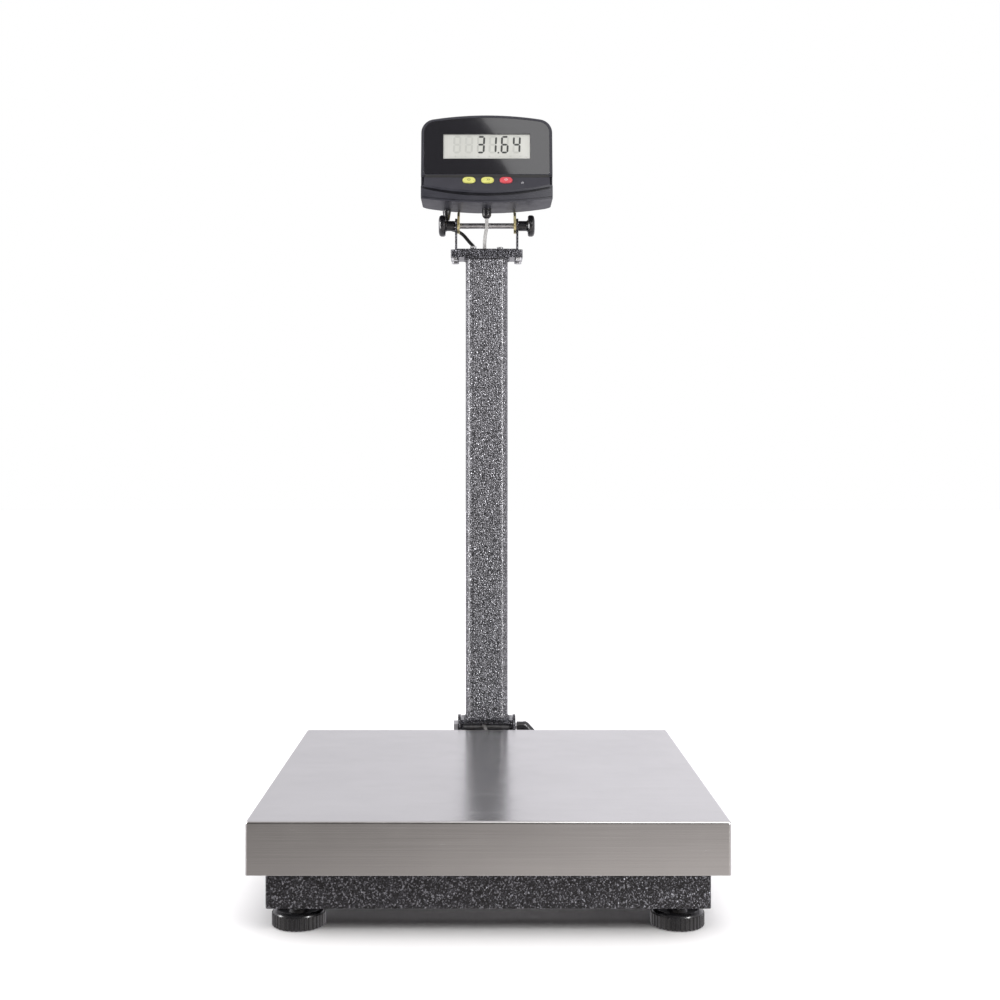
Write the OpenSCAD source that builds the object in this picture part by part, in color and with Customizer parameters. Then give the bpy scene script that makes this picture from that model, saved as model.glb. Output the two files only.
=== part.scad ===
// Bench scale: stainless tray on a painted base frame, with an indicator on a folding mast.
// Origin: on the floor, under the middle of the whole footprint. +Z up, front towards -Y.

/* [Tray] */
// Width of the tray
tray_w = 500; // [400:5:620]
// Depth of the tray, front to back
tray_d = 500; // [400:5:620]
// Height of the tray's folded skirt
skirt_h = 56; // [50:1:60]
// Thickness of the tray's sheet
tray_sheet = 1.5; // [1:0.1:2]
// Outside radius of the tray's folds
tray_fold_r = 3; // [2:0.5:5]

/* [Base frame] */
// Gap between the tray's side and the base frame
base_inset = 18; // [12:1:30]
// Height of the base frame's channel
base_h = 45; // [40:1:48]
// Width of the base frame's channel
channel_w = 50; // [46:1:60]
// Thickness of the channel's steel
channel_t = 2.5; // [2:0.5:3]
// Height of the base frame above the floor
ground_gap = 25.5; // [24.5:0.5:34]
// Height of the beam that carries the load cell
beam_h = 30; // [26:1:36]
// Width of that beam, front to back
beam_w = 60; // [50:1:70]

/* [Weighing parts] */
// Length of the load cell
cell_l = 150; // [130:1:180]
// Width of the load cell
cell_w = 40; // [36:1:60]
// Height of the load cell
cell_h = 32; // [28:1:40]
// Thickness of the spacer below the load cell
spacer_low = 4; // [3:0.5:6]
// Thickness of the spacer above the load cell
spacer_up = 3; // [2:0.5:5]
// Distance of the load cell's bolts from its middle
cell_bolt_y = 60; // [50:1:75]
// Radius of the load cell's bolts
cell_bolt_r = 4; // [3:0.5:5]
// Height of the carrier's tubes
carrier_h = 20; // [18:1:30]
// Width of the carrier's tubes
carrier_w = 30; // [25:1:40]
// Distance of the carrier's rails from the middle
rail_x = 170; // [120:1:175]
// Height of the rubber pads under the tray
pad_h = 5; // [3:0.5:8]
// Radius of the rubber pads
pad_r = 12; // [8:1:14]
// Gap that the overload stops leave
stop_gap = 1.2; // [0.8:0.1:2]

/* [Levelling feet] */
// Distance of a foot's middle from the base frame's outside
foot_inset = 31; // [30:1:36]
// Radius of a foot's knurled disc
foot_r = 28.5; // [22:0.5:32]
// Height of the knurled wall
knurl_h = 12.7; // [10:0.1:13]
// Number of ribs round the disc
knurl_n = 36; // [24:1:48]
// Radius of a foot's stud
stud_r = 5; // [4:0.5:6]
// Height of the rubber sole
sole_h = 3; // [2:0.5:4]

/* [Mast] */
// Gap between the tray and the mast
mast_gap = 35; // [30:1:60]
// Width of the mast's tube
mast_w = 60; // [50:1:64]
// Depth of the mast's tube
mast_d = 40; // [36:1:50]
// Corner radius of the mast's tube
mast_r = 12; // [6:1:14]
// Wall of the mast's tube
mast_t = 2; // [1.5:0.5:3]
// Length of the mast's tube
mast_l = 656; // [450:1:900]
// Height of the fold bolt above the floor
fold_z = 115.5; // [112:0.5:125]
// Radius of the fold bolt
fold_bolt_r = 5; // [4:0.5:6]
// Outside width of the mast's bracket
bracket_w = 82; // [80:1:96]
// Thickness of the bracket's and the mast foot's steel
bracket_t = 4; // [3:0.5:5]
// Rise of the mast foot's plate above the fold bolt
foot_plate_rise = 6.5; // [6:0.5:10]
// Thickness of the mast foot's plate
foot_plate_t = 6; // [5:0.5:8]

/* [Head mounting] */
// Width of the two plates on the mast
plate_w = 102; // [100:1:120]
// Depth of the two plates
plate_d = 44; // [42:1:60]
// Thickness of the plate welded to the mast
mast_plate_t = 5; // [4:0.5:6]
// Thickness of the plate bolted on it
head_plate_t = 6; // [4:0.5:8]
// Outside width of the U bracket on the plates
u_w = 90.4; // [84:0.2:96]
// Thickness of the U bracket
u_t = 3; // [2:0.5:4]
// Rise of the tilt shaft above the U bracket's floor
tilt_rise = 34; // [32:1:45]
// Radius of the tilt shaft
tilt_r = 4; // [3:0.5:5]
// Radius of a knob's disc
knob_r = 15.2; // [12:0.2:17]
// Radius of a knob's hub
knob_hub_r = 7.2; // [6:0.2:9]

/* [Indicator] */
// Width of the indicator
head_w = 185; // [170:1:200]
// Height of the indicator's bezel along its face
bezel_h = 90; // [86:1:100]
// Lean of the bezel from the vertical
bezel_lean = 10; // [5:1:15]
// Thickness of the indicator's shells
shell_t = 2.5; // [2:0.5:3]
// Width of the display
lcd_w = 122.5; // [100:0.5:130]
// Height of the display
lcd_h = 36.7; // [30:0.1:40]
// Travel of a key
key_travel = 1.2; // [0.8:0.1:1.5]
// Distance from key to key
key_pitch = 26; // [22:0.5:30]

/* [Clearances] */
// Gap between pieces that move past each other
run_gap = 0.3; // [0.3:0.05:0.5]
// Radial clearance of a shaft in its bore
fit_gap = 0.05; // [0.02:0.01:0.1]

/* [Hidden] */
$fn = 48;
eps = 0.01;

paint = "#4a494e";
paint_light = "#69696f";
steel = "#b9b9bd";
zinc = "#c6b878";
black = "#232327";
rubber = "#1a1a1b";
case_grey = "#3b3b43";
cable_grey = "#b4b3b0";

corners = [["front_left", -1, -1], ["front_right", 1, -1], ["rear_left", -1, 1], ["rear_right", 1, 1]];
ends = [-1, 1];

// Base frame and weighing parts
base_w = tray_w - 2 * base_inset;
base_d = tray_d - 2 * base_inset;
base_top = ground_gap + base_h;
beam_top = ground_gap + beam_h;
cell_z = beam_top + spacer_low;
carrier_z = cell_z + cell_h + spacer_up;
carrier_top = carrier_z + carrier_h;
tray_top = carrier_top + pad_h + tray_sheet;
skirt_z = tray_top - skirt_h;
tube_t = 2.5;
rail_l = base_d - 44;
rail_end_y = rail_l / 2;
stop_y = base_d / 2 - channel_w + 14;
pad_y = rail_end_y - 20;
cross_y = cell_l / 2 + 30;
carrier_plate_t = 6;
cell_bolt_x = cell_w / 2 - 8;
cell_head_r = 1.6 * cell_bolt_r;
cell_head_h = 1.2 * cell_bolt_r;
stop_r = 4;
nut_plate_t = 6;

// Feet
foot_x = base_w / 2 - foot_inset;
foot_y = base_d / 2 - foot_inset;
lock_nut_h = 5;
stud_top = base_top - channel_t - 8;
sole_r = foot_r - 4.5;
disc_z = 1;
disc_top = ground_gap - lock_nut_h - 3.5;

// Mast and fold
mast_y = tray_d / 2 + mast_gap + mast_d / 2;
ear_r = 17;
foot_plate_z = fold_z + foot_plate_rise;
mast_z = foot_plate_z + foot_plate_t;
mast_top = mast_z + mast_l;
head_plate_z = mast_top + mast_plate_t;
u_z = head_plate_z + head_plate_t;
u_top = u_z + u_t;
tilt_z = u_top + tilt_rise;
u_ear_r = 10.5;
arm_top = skirt_z - 5;
arm_z = ground_gap + 1.5;
bracket_in = bracket_w / 2 - bracket_t;
mast_foot_w = 2 * (bracket_in - run_gap);
mast_foot_ear_r = 12.5;
web_t = 3.5;
web_y = mast_y + mast_foot_ear_r + 1;
plate_bolt_r = 3;
plate_bolt_x = plate_w / 2 - 6;
plate_bolt_y = plate_d / 2 - 6;
u_screw_x = 19;

// Indicator, measured from the tilt shaft's middle
face_y = -38;
bezel_z = 64;
lean_run = bezel_h * sin(bezel_lean);
head_top = bezel_z + bezel_h * cos(bezel_lean);
bezel_top_y = face_y + lean_run;
strip_top = bezel_z - 2.3;
strip_slope = 50;
nose_y = -57;
belly_z = 22.5;
back_y = 24;
arch_r = 484;
corner_r = 20;
belly_r = 557;
nose_r = 439;
groove_r = 330;
groove_depth = 5;
groove_z = 31.8;
seam_z = belly_z + 2.2;
lens_t = 1.5;
lens_rim = 3.5;
lcd_v = 25.4;
key_w = 18;
key_h = 12.7;
key_x0 = 1;
key_v = -7.2;
key_rise = 1.8;
board_t = 1.6;
key_board_w = -9;
yoke_t = 3.2;
yoke_x = u_w / 2 - u_t - run_gap;
yoke_screw_h = 2.5;
screw_spots = [for (x = ends, p = [[12.5, 36, -42], [14.5, 130, -20]])
    [x * (head_w / 2 - p[0]), p[1], p[2]]];
yoke_screw_spots = [[-25, 40], [25, 40], [-25, 58], [25, 58]];
gland_y = -9;
dome_z = 14.8;
relief_x = -57.5;
relief_y = 16;
knob_face = u_w / 2 + run_gap;
knob_hub_l = 13.5;
knob_disc_t = 9.5;
knob_end = knob_face + knob_hub_l + knob_disc_t;
head_reach = back_y + 3 + yoke_screw_h;

// The tray's middle lies in front of the origin, which is under the middle of the footprint.
tray_y = -(mast_y + head_reach - tray_d / 2) / 2;

// Cables, as points from the mast's middle line, with heights above the floor
cable_r = 2.5;
lead_r = 2.5;
base_route = [[0, -225, 78], [0, -205, 76], [0, -170, 62], [0, -145, 48], [0, -126, 45], [0, -95, 45],
    [0, -61, 45]];
hinge_route = [[0, -61, 45], [0, -55, 45], [0, -45, 45], [1, -28, 50], [2, -17, 66], [2, -12, 88],
    [0, -11, 108], [-5, -9, 121], [-6, -8, 127], [-6, -8, 132]];
mast_route = [[-6, -8, 132], [-6, -8, 136], [-6, -7, 150], [-5, -5, 220], [-4, -5, 400],
    [-4, -5, mast_top - 164], [-3, -6, mast_top - 24], [-3, -7, mast_top + 4], [-3, -7, u_top]];
top_route = [[-3, -7, u_top], [-3, -7, u_top + 3], [-3, -8, u_top + 9], [-2, -9, u_top + 19],
    [0, -9, tilt_z - 2], [0, -9, tilt_z + 6], [0, -9, tilt_z + 10]];
lead_route = [[-57.5, 16, tilt_z + 10.7], [-57.5, 16, tilt_z + 9], [-57.5, 16, tilt_z + 6],
    [-56, 17, tilt_z + 2], [-50, 18, tilt_z - 2], [-43, 18, tilt_z - 4], [-34, 16, tilt_z - 10],
    [-25, 11, u_top + 13], [-19, 8, u_top + 6], [-18, 7, u_top + 2], [-18, 7, u_top]];
lead_mast_route = [[-18, 7, u_top], [-18, 7, u_top - 2], [-18, 7, mast_top + 1], [-16, 6, mast_top - 54],
    [-10, 6, mast_top - 184], [-10, 6, 300],
    [0, 6, 240], [9, 2, 205], [12, -2, 188], [12, 3, 180], [12, 7, 180], [12, 11, 180]];
socket_x = 12;
socket_z = 180;
gland_z = ground_gap + 19.5;
gland_hole_r = 6;
bracket_screw_r = 3;

// ---- Helpers ----

module at_tray() {
    translate([0, tray_y, 0]) children();
}

module at_mast() {
    translate([0, tray_y + mast_y, 0]) children();
}

module at_tilt() {
    translate([0, tray_y + mast_y, tilt_z]) children();
}

// Block between two corners
module block(low, high) {
    translate(low) cube(high - low);
}

// Outline in Y and Z, drawn out along X from x0 to x1
module along_x(x0, x1) {
    translate([x0, 0, 0]) rotate([90, 0, 90]) linear_extrude(x1 - x0) children();
}

// Two sheets of thickness t across X, with their outer faces at x = -outer and outer
module both_sides(outer, t) {
    along_x(-outer, t - outer) children();
    along_x(outer - t, outer) children();
}

// Outline in X and Z, drawn out along Y from y0 to y1
module along_y(y0, y1) {
    translate([0, y1, 0]) rotate([90, 0, 0]) linear_extrude(y1 - y0) children();
}

module rod_x(x0, x1, r, fn = 48) {
    translate([x0, 0, 0]) rotate([0, 90, 0]) cylinder(h = x1 - x0, r = r, $fn = fn);
}

module rod_y(y0, y1, r, fn = 48) {
    translate([0, y0, 0]) rotate([-90, 0, 0]) cylinder(h = y1 - y0, r = r, $fn = fn);
}

module rounded_rect(w, d, r) {
    square([w - 2 * r, d], center = true);
    square([w, d - 2 * r], center = true);
    for (x = ends, y = ends) translate([x * (w / 2 - r), y * (d / 2 - r)]) circle(r);
}

// Rounded rectangle from y0 to y1 with one radius at its low edge and another at its high edge
module rounded_rect_ends(w, y0, y1, r0, r1) {
    translate([-w / 2, y0 + r0]) square([w, y1 - y0 - r0 - r1]);
    translate([-w / 2 + r0, y0]) square([w - 2 * r0, r0 + eps]);
    translate([-w / 2 + r1, y1 - r1 - eps]) square([w - 2 * r1, r1 + eps]);
    for (x = ends) {
        translate([x * (w / 2 - r0), y0 + r0]) circle(r0);
        translate([x * (w / 2 - r1), y1 - r1]) circle(r1);
    }
}

// Outline with straight ends and round sides, such as an oval key
module stadium(w, h) {
    square([w - h, h], center = true);
    for (x = ends) translate([x * (w - h) / 2, 0]) circle(h / 2);
}

function unit(v) = v / norm(v);

// Catmull-Rom curve through a route's points, with n steps for each span
function curve_point(a, b, c, d, t) =
    0.5 * (2 * b + (c - a) * t + (2 * a - 5 * b + 4 * c - d) * t * t + (3 * b - a - 3 * c + d) * t * t * t);
function smooth_route(p, n) = concat([for (i = [0 : len(p) - 2], k = [0 : n - 1])
    curve_point(p[max(i - 1, 0)], p[i], p[i + 1], p[min(i + 2, len(p) - 1)], k / n)], [p[len(p) - 1]]);
function heading(p, i) = unit(p[min(i + 1, len(p) - 1)] - p[max(i - 1, 0)]);
function ring(c, t, side, r, n) = let (u = unit(cross(t, side)), v = cross(t, u))
    [for (k = [0 : n - 1]) c + r * (cos(360 * k / n) * u + sin(360 * k / n) * v)];

// Closed tube along a route; side is any direction that the route never runs along
module cable(route, r, side, steps) {
    n = 8;
    p = smooth_route(route, steps);
    last = len(p) - 1;
    points = [for (i = [0 : last]) each ring(p[i], heading(p, i), side, r, n)];
    walls = [for (i = [0 : last - 1], k = [0 : n - 1])
        [i * n + k, i * n + (k + 1) % n, (i + 1) * n + (k + 1) % n, (i + 1) * n + k]];
    start = [for (k = [0 : n - 1]) n - 1 - k];
    finish = [for (k = [0 : n - 1]) last * n + k];
    polyhedron(points, concat(walls, [start, finish]));
}

// ---- Base ----

module base_frame() {
    color(paint) at_tray() difference() {
        translate([0, 0, ground_gap]) linear_extrude(base_h) rounded_rect(base_w, base_d, channel_t);
        block([-base_w / 2 + channel_w, -base_d / 2 + channel_w, 0],
            [base_w / 2 - channel_w, base_d / 2 - channel_w, base_top + 1]);
        difference() {
            block([-base_w / 2 + channel_t, -base_d / 2 + channel_t, 0],
                [base_w / 2 - channel_t, base_d / 2 - channel_t, base_top - channel_t]);
            block([-base_w / 2 + channel_w - channel_t, -base_d / 2 + channel_w - channel_t, -1],
                [base_w / 2 - channel_w + channel_t, base_d / 2 - channel_w + channel_t, base_top]);
        }
        for (x = ends, y = ends) translate([x * rail_x, y * stop_y, base_top - 10])
            cylinder(h = 20, r = stop_r);
        translate([0, base_d / 2, gland_z]) rod_y(-channel_w - 1, 1, gland_hole_r);
        bracket_screw_places() rod_y(-channel_t - 1, 1, bracket_screw_r);
    }
}

// Screws of the mast's bracket, on the base frame's rear face
module bracket_screw_places() {
    for (x = ends, z = [ground_gap + 12, ground_gap + 28])
        translate([x * 25, base_d / 2, z]) children();
}

module base_beam() {
    half = base_w / 2 - channel_w;
    color(paint) at_tray() difference() {
        translate([0, cell_bolt_y, 0]) block([-half, -beam_w / 2, ground_gap], [half, beam_w / 2, beam_top]);
        translate([0, cell_bolt_y, 0]) block([-half - 1, -beam_w / 2 + tube_t, ground_gap + tube_t],
            [half + 1, beam_w / 2 - tube_t, beam_top - tube_t]);
        for (x = ends) translate([x * cell_bolt_x, cell_bolt_y, 0]) {
            cylinder(h = ground_gap + 2 * tube_t, r = cell_head_r + 2);
            cylinder(h = beam_top + 1, r = cell_bolt_r);
        }
    }
}

module foot_nut_plates() {
    size = channel_w - 2 * channel_t;
    color(steel) at_tray() for (x = ends, y = ends) difference() {
        translate([x * (base_w - channel_w) / 2, y * (base_d - channel_w) / 2, ground_gap])
            translate([-size / 2, -size / 2, 0]) cube([size, size, nut_plate_t]);
        translate([x * foot_x, y * foot_y, 0]) cylinder(h = base_top, r = stud_r + fit_gap);
    }
}

module foot_lock_nuts() {
    for (corner = corners) color(steel) at_foot(corner) translate([0, 0, ground_gap - lock_nut_h])
        difference() {
            cylinder(h = lock_nut_h, r = 1.95 * stud_r, $fn = 6);
            translate([0, 0, -1]) cylinder(h = lock_nut_h + 2, r = stud_r + fit_gap);
        }
}

module cell_spacers() {
    color(steel) at_tray() difference() {
        union() {
            translate([0, cell_bolt_y, beam_top])
                block([-cell_w / 2, -14, 0], [cell_w / 2, 14, spacer_low]);
            translate([0, -cell_bolt_y, carrier_z - spacer_up])
                block([-cell_w / 2, -14, 0], [cell_w / 2, 14, spacer_up]);
        }
        for (x = ends, y = ends) translate([x * cell_bolt_x, y * cell_bolt_y, 0])
            cylinder(h = tray_top, r = cell_bolt_r);
    }
}

// Bending beam: two holes joined by a slot leave thin walls that flex
module load_cell() {
    color(steel) at_tray() difference() {
        translate([0, 0, cell_z]) block([-cell_w / 2, -cell_l / 2, 0], [cell_w / 2, cell_l / 2, cell_h]);
        for (y = ends) translate([0, y * 17, cell_z + cell_h / 2]) rod_x(-cell_w, cell_w, cell_h / 2 - 4);
        translate([0, 0, cell_z + cell_h / 2]) block([-cell_w, -17, -3], [cell_w, 17, 3]);
        for (x = ends) {
            translate([x * cell_bolt_x, cell_bolt_y, cell_z - 1])
                cylinder(h = 17, r = cell_bolt_r);
            translate([x * cell_bolt_x, -cell_bolt_y, cell_z + cell_h - 16])
                cylinder(h = 17, r = cell_bolt_r);
        }
    }
}

module cell_bolts() {
    color(steel) at_tray() for (x = ends) {
        translate([x * cell_bolt_x, cell_bolt_y, beam_top - tube_t]) {
            cylinder(h = tube_t + spacer_low + 14, r = cell_bolt_r);
            translate([0, 0, -cell_head_h]) cylinder(h = cell_head_h, r = cell_head_r, $fn = 6);
        }
        translate([x * cell_bolt_x, -cell_bolt_y, carrier_z + carrier_plate_t]) {
            cylinder(h = cell_head_h, r = cell_head_r, $fn = 6);
            translate([0, 0, -carrier_plate_t - spacer_up - 14])
                cylinder(h = carrier_plate_t + spacer_up + 14, r = cell_bolt_r);
        }
    }
}

module tube_y(x, half_l) {
    difference() {
        translate([x, 0, carrier_z]) block([-carrier_w / 2, -half_l, 0], [carrier_w / 2, half_l, carrier_h]);
        translate([x, 0, carrier_z]) block([-carrier_w / 2 + tube_t, -half_l - 1, tube_t],
            [carrier_w / 2 - tube_t, half_l + 1, carrier_h - tube_t]);
    }
}

module tray_carrier() {
    inner = rail_x - carrier_w / 2;
    color(paint) at_tray() difference() {
        union() {
            for (x = ends) tube_y(x * rail_x, rail_end_y);
            for (y = ends) translate([0, y * cross_y, 0]) difference() {
                block([-inner, -carrier_w / 2, carrier_z], [inner, carrier_w / 2, carrier_top]);
                block([-inner - 1, -carrier_w / 2 + tube_t, carrier_z + tube_t],
                    [inner + 1, carrier_w / 2 - tube_t, carrier_top - tube_t]);
            }
            block([-45, -cross_y + carrier_w / 2, carrier_z],
                [45, cross_y - carrier_w / 2, carrier_z + carrier_plate_t]);
        }
        for (x = ends) translate([x * cell_bolt_x, -cell_bolt_y, 0]) cylinder(h = tray_top, r = cell_bolt_r);
    }
}

module tray_pads() {
    color(rubber) at_tray() for (x = ends, y = ends)
        translate([x * rail_x, y * pad_y, carrier_top]) cylinder(h = pad_h, r = pad_r);
}

module stop_screws() {
    top = carrier_z - stop_gap;
    color(steel) at_tray() for (x = ends, y = ends) translate([x * rail_x, y * stop_y, 0]) {
        translate([0, 0, base_top - channel_t - 10])
            cylinder(h = top - base_top + channel_t + 10, r = stop_r);
        translate([0, 0, top - 5]) cylinder(h = 5, r = 7, $fn = 6);
        translate([0, 0, base_top]) cylinder(h = 5, r = 7.5, $fn = 6);
        translate([0, 0, base_top - channel_t - 6]) cylinder(h = 6, r = 7.5, $fn = 6);
    }
}

module bubble_level() {
    color("#9fd06a") at_tray() translate([-60, base_d / 2 - channel_w / 2, base_top]) {
        cylinder(h = 9, r = 10);
        cylinder(h = 3, r = 14);
    }
}

module base_gland() {
    color(black) at_tray() translate([0, base_d / 2, gland_z]) difference() {
        union() {
            rod_y(-channel_w + channel_t, 0, gland_hole_r);
            rod_y(-channel_w + channel_t, -channel_t, gland_hole_r + 1.5);
        }
        rod_y(-channel_w - 1, 1, cable_r + fit_gap);
    }
}

module cell_cable() {
    color(cable_grey) at_mast() cable(base_route, cable_r, [1, 0, 0], 2);
}

module fold_cable() {
    color(cable_grey) at_mast() cable(hinge_route, cable_r, [1, 0, 0], 2);
}

// ---- Mast bracket and fold ----

module mast_bracket() {
    rear = mast_y + ear_r;
    front = base_d / 2;
    color(paint) at_tray() {
        difference() {
            union() {
                both_sides(bracket_w / 2, bracket_t) {
                    polygon([[front, arm_z], [rear, arm_z], [rear, fold_z], [mast_y - ear_r, fold_z],
                        [mast_y - ear_r, arm_top + 12], [mast_y - ear_r - 12, arm_top], [front, arm_top]]);
                    translate([mast_y, fold_z]) circle(ear_r);
                }
                block([-bracket_in, front, arm_z], [bracket_in, rear, arm_z + bracket_t]);
                block([-bracket_in, front, arm_z], [bracket_in, front + bracket_t, arm_top]);
                block([-bracket_in, web_y, arm_z], [bracket_in, web_y + web_t, foot_plate_z - run_gap]);
            }
            translate([0, mast_y, fold_z]) rod_x(-bracket_w, bracket_w, fold_bolt_r);
            translate([0, front, gland_z]) rod_y(-1, bracket_t + 1, cable_r + 1.5);
            bracket_screw_places() rod_y(-1, bracket_t + 1, bracket_screw_r);
        }
    }
}

module bracket_screws() {
    color(steel) at_tray() bracket_screw_places() {
        rod_y(-channel_t - 6, bracket_t, bracket_screw_r);
        rod_y(bracket_t, bracket_t + 4, 5.2, 6);
        rod_y(-channel_t - 5, -channel_t, 5.5, 6);
    }
}

module fold_bolt() {
    color(steel) at_mast() translate([0, 0, fold_z]) {
        rod_x(-bracket_w / 2, bracket_w / 2 + 12, fold_bolt_r);
        rod_x(-bracket_w / 2 - 6, -bracket_w / 2, 8.5, 6);
    }
}

// Clamping lever on the end of the fold bolt, hanging outwards and down
module clamp_lever() {
    hub = bracket_w / 2 + 2;
    color(black) at_mast() translate([0, 0, fold_z]) difference() {
        union() {
            rod_x(hub, hub + 11, 6.8);
            hull() {
                translate([hub + 13, 0, 0.5]) sphere(5.6, $fn = 32);
                translate([hub + 13, 0, 0.5]) rod_x(-4, 0, 6.6, 32);
                translate([hub + 36, 0, -26]) sphere(6.5, $fn = 32);
            }
        }
        rod_x(hub - 1, hub + 12, fold_bolt_r + fit_gap);
    }
}

// ---- Tray ----

// Box with rounded upright edges and a rounded top edge
module tray_form(w, d, z0, z1, r) {
    translate([0, 0, z0]) linear_extrude(z1 - z0 - r) rounded_rect(w, d, r);
    translate([-w / 2 + r, -d / 2 + r, z1 - r - eps]) cube([w - 2 * r, d - 2 * r, r + eps]);
    for (y = ends) translate([0, y * (d / 2 - r), z1 - r]) rod_x(-w / 2 + r, w / 2 - r, r);
    for (x = ends) translate([x * (w / 2 - r), 0, z1 - r]) rod_y(-d / 2 + r, d / 2 - r, r);
    for (x = ends, y = ends) translate([x * (w / 2 - r), y * (d / 2 - r), z1 - r]) sphere(r);
}

module tray() {
    color(steel) at_tray() difference() {
        tray_form(tray_w, tray_d, skirt_z, tray_top, tray_fold_r);
        tray_form(tray_w - 2 * tray_sheet, tray_d - 2 * tray_sheet, skirt_z - 1, tray_top - tray_sheet,
            tray_fold_r - tray_sheet);
    }
}

// ---- Levelling feet ----

module at_foot(corner) {
    at_tray() translate([corner[1] * foot_x, corner[2] * foot_y, 0]) children();
}

module foot_sole(corner) {
    color(rubber) at_foot(corner) cylinder(h = sole_h, r = sole_r);
}

function knurl(n, r, depth) = [for (i = [0 : n - 1], k = [0 : 3])
    let (a = (i + [0, 0.32, 0.5, 0.82][k]) * 360 / n, q = k < 2 ? r : r - depth) [q * cos(a), q * sin(a)]];

module foot_disc(corner) {
    color(black) at_foot(corner) difference() {
        union() {
            translate([0, 0, disc_z]) linear_extrude(knurl_h) polygon(knurl(knurl_n, foot_r, 1.1));
            rotate_extrude() polygon([[0, disc_z + 2], [foot_r - 1.5, disc_z + knurl_h - eps],
                [foot_r - 2, disc_z + knurl_h + 1.5], [foot_r - 4, disc_top - 0.5], [foot_r - 5.5, disc_top],
                [foot_r - 7.5, disc_top - 0.5], [foot_r - 9, disc_top - 2.5], [stud_r + 6, disc_top - 3],
                [stud_r + 4, disc_top], [0, disc_top]]);
        }
        cylinder(h = sole_h + run_gap, r = sole_r + run_gap);
        translate([0, 0, sole_h + 3]) cylinder(h = disc_top, r = stud_r);
    }
}

module foot_stud(corner) {
    color(steel) at_foot(corner) translate([0, 0, sole_h + 3])
        cylinder(h = stud_top - sole_h - 3, r = stud_r);
}

// ---- Mast ----

module mast_foot() {
    half = mast_foot_w / 2;
    color(paint) at_mast() difference() {
        union() {
            block([-half, -mast_d / 2, foot_plate_z], [half, mast_d / 2, mast_z]);
            both_sides(half, bracket_t) {
                translate([0, fold_z]) circle(mast_foot_ear_r);
                translate([-mast_foot_ear_r, fold_z]) square([2 * mast_foot_ear_r, foot_plate_rise + eps]);
            }
        }
        translate([0, 0, fold_z]) rod_x(-half - 1, half + 1, fold_bolt_r + fit_gap);
        translate([-5.5, -8.5, foot_plate_z - 1]) cylinder(h = foot_plate_t + 2, r = cable_r + 2.5);
    }
}

module mast_tube() {
    color(paint_light) at_mast() difference() {
        translate([0, 0, mast_z]) linear_extrude(mast_l) difference() {
            rounded_rect(mast_w, mast_d, mast_r);
            rounded_rect(mast_w - 2 * mast_t, mast_d - 2 * mast_t, mast_r - mast_t);
        }
        translate([socket_x, 0, socket_z]) rod_y(0, mast_d, 6);
    }
}

// Holes for the two cables, in both plates and the U bracket
module cable_holes() {
    for (p = [[-3, -7], [-18, 7]]) translate([p[0], p[1], mast_top - 1]) cylinder(h = 30, r = 5);
}

module plate_blank(t) {
    linear_extrude(t) rounded_rect(plate_w, plate_d, 3);
}

module plate_bolt_places() {
    for (x = ends, y = ends) translate([x * plate_bolt_x, y * plate_bolt_y, 0]) children();
}

module mast_plate() {
    color(paint) at_mast() difference() {
        translate([0, 0, mast_top]) plate_blank(mast_plate_t);
        cable_holes();
        plate_bolt_places() translate([0, 0, mast_top - 1]) cylinder(h = 20, r = plate_bolt_r);
    }
}

module head_plate() {
    color(paint) at_mast() difference() {
        translate([0, 0, head_plate_z]) plate_blank(head_plate_t);
        cable_holes();
        plate_bolt_places() translate([0, 0, mast_top - 1]) cylinder(h = 20, r = plate_bolt_r);
    }
}

module head_bracket() {
    color(paint) at_mast() difference() {
        union() {
            block([-u_w / 2, -u_ear_r, u_z], [u_w / 2, u_ear_r, u_top]);
            both_sides(u_w / 2, u_t) {
                translate([-u_ear_r, u_z]) square([2 * u_ear_r, tilt_z - u_z]);
                translate([0, tilt_z]) circle(u_ear_r);
            }
        }
        translate([0, 0, tilt_z]) rod_x(-u_w, u_w, tilt_r);
        cable_holes();
    }
}

module plate_bolts() {
    color(steel) at_mast() {
        plate_bolt_places() {
            translate([0, 0, mast_top]) cylinder(h = mast_plate_t + head_plate_t, r = plate_bolt_r);
            translate([0, 0, mast_top - 4]) cylinder(h = 4, r = 5.2, $fn = 6);
        }
        for (x = ends) translate([x * u_screw_x, -4 + 4 * x, u_top]) cylinder(h = 3.5, r = 4.5, $fn = 6);
    }
}

module plate_grommets() {
    color(rubber) at_mast() for (p = [[-3, -7], [-18, 7]]) translate([p[0], p[1], mast_top]) difference() {
        cylinder(h = u_top - mast_top, r = 5);
        translate([0, 0, -1]) cylinder(h = 40, r = 3.2);
    }
}

module mast_cable() {
    color(cable_grey) at_mast() cable(mast_route, cable_r, [1, 0, 0], 2);
}

module head_cable() {
    color(cable_grey) at_mast() cable(top_route, cable_r, [0, 1, 0], 3);
}

module mast_lead() {
    color(black) at_mast() cable(lead_mast_route, lead_r, [1, 0, 0], 2);
}

module head_lead() {
    color(black) at_mast() cable(lead_route, lead_r, [0, 1, 0], 3);
}

// Round power socket in the mast's rear wall, where the power lead ends
module power_socket() {
    color(black) at_mast() translate([socket_x, 0, socket_z]) difference() {
        union() {
            rod_y(mast_d / 2 - 9, mast_d / 2, 6);
            rod_y(mast_d / 2, mast_d / 2 + 2.5, 7.5);
        }
        rod_y(mast_d / 2 - 6, mast_d / 2 + 4, 2.8);
    }
}

module tilt_shaft() {
    color(steel) at_tilt() rod_x(-knob_end + 7, knob_end - 7, tilt_r);
}

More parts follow.
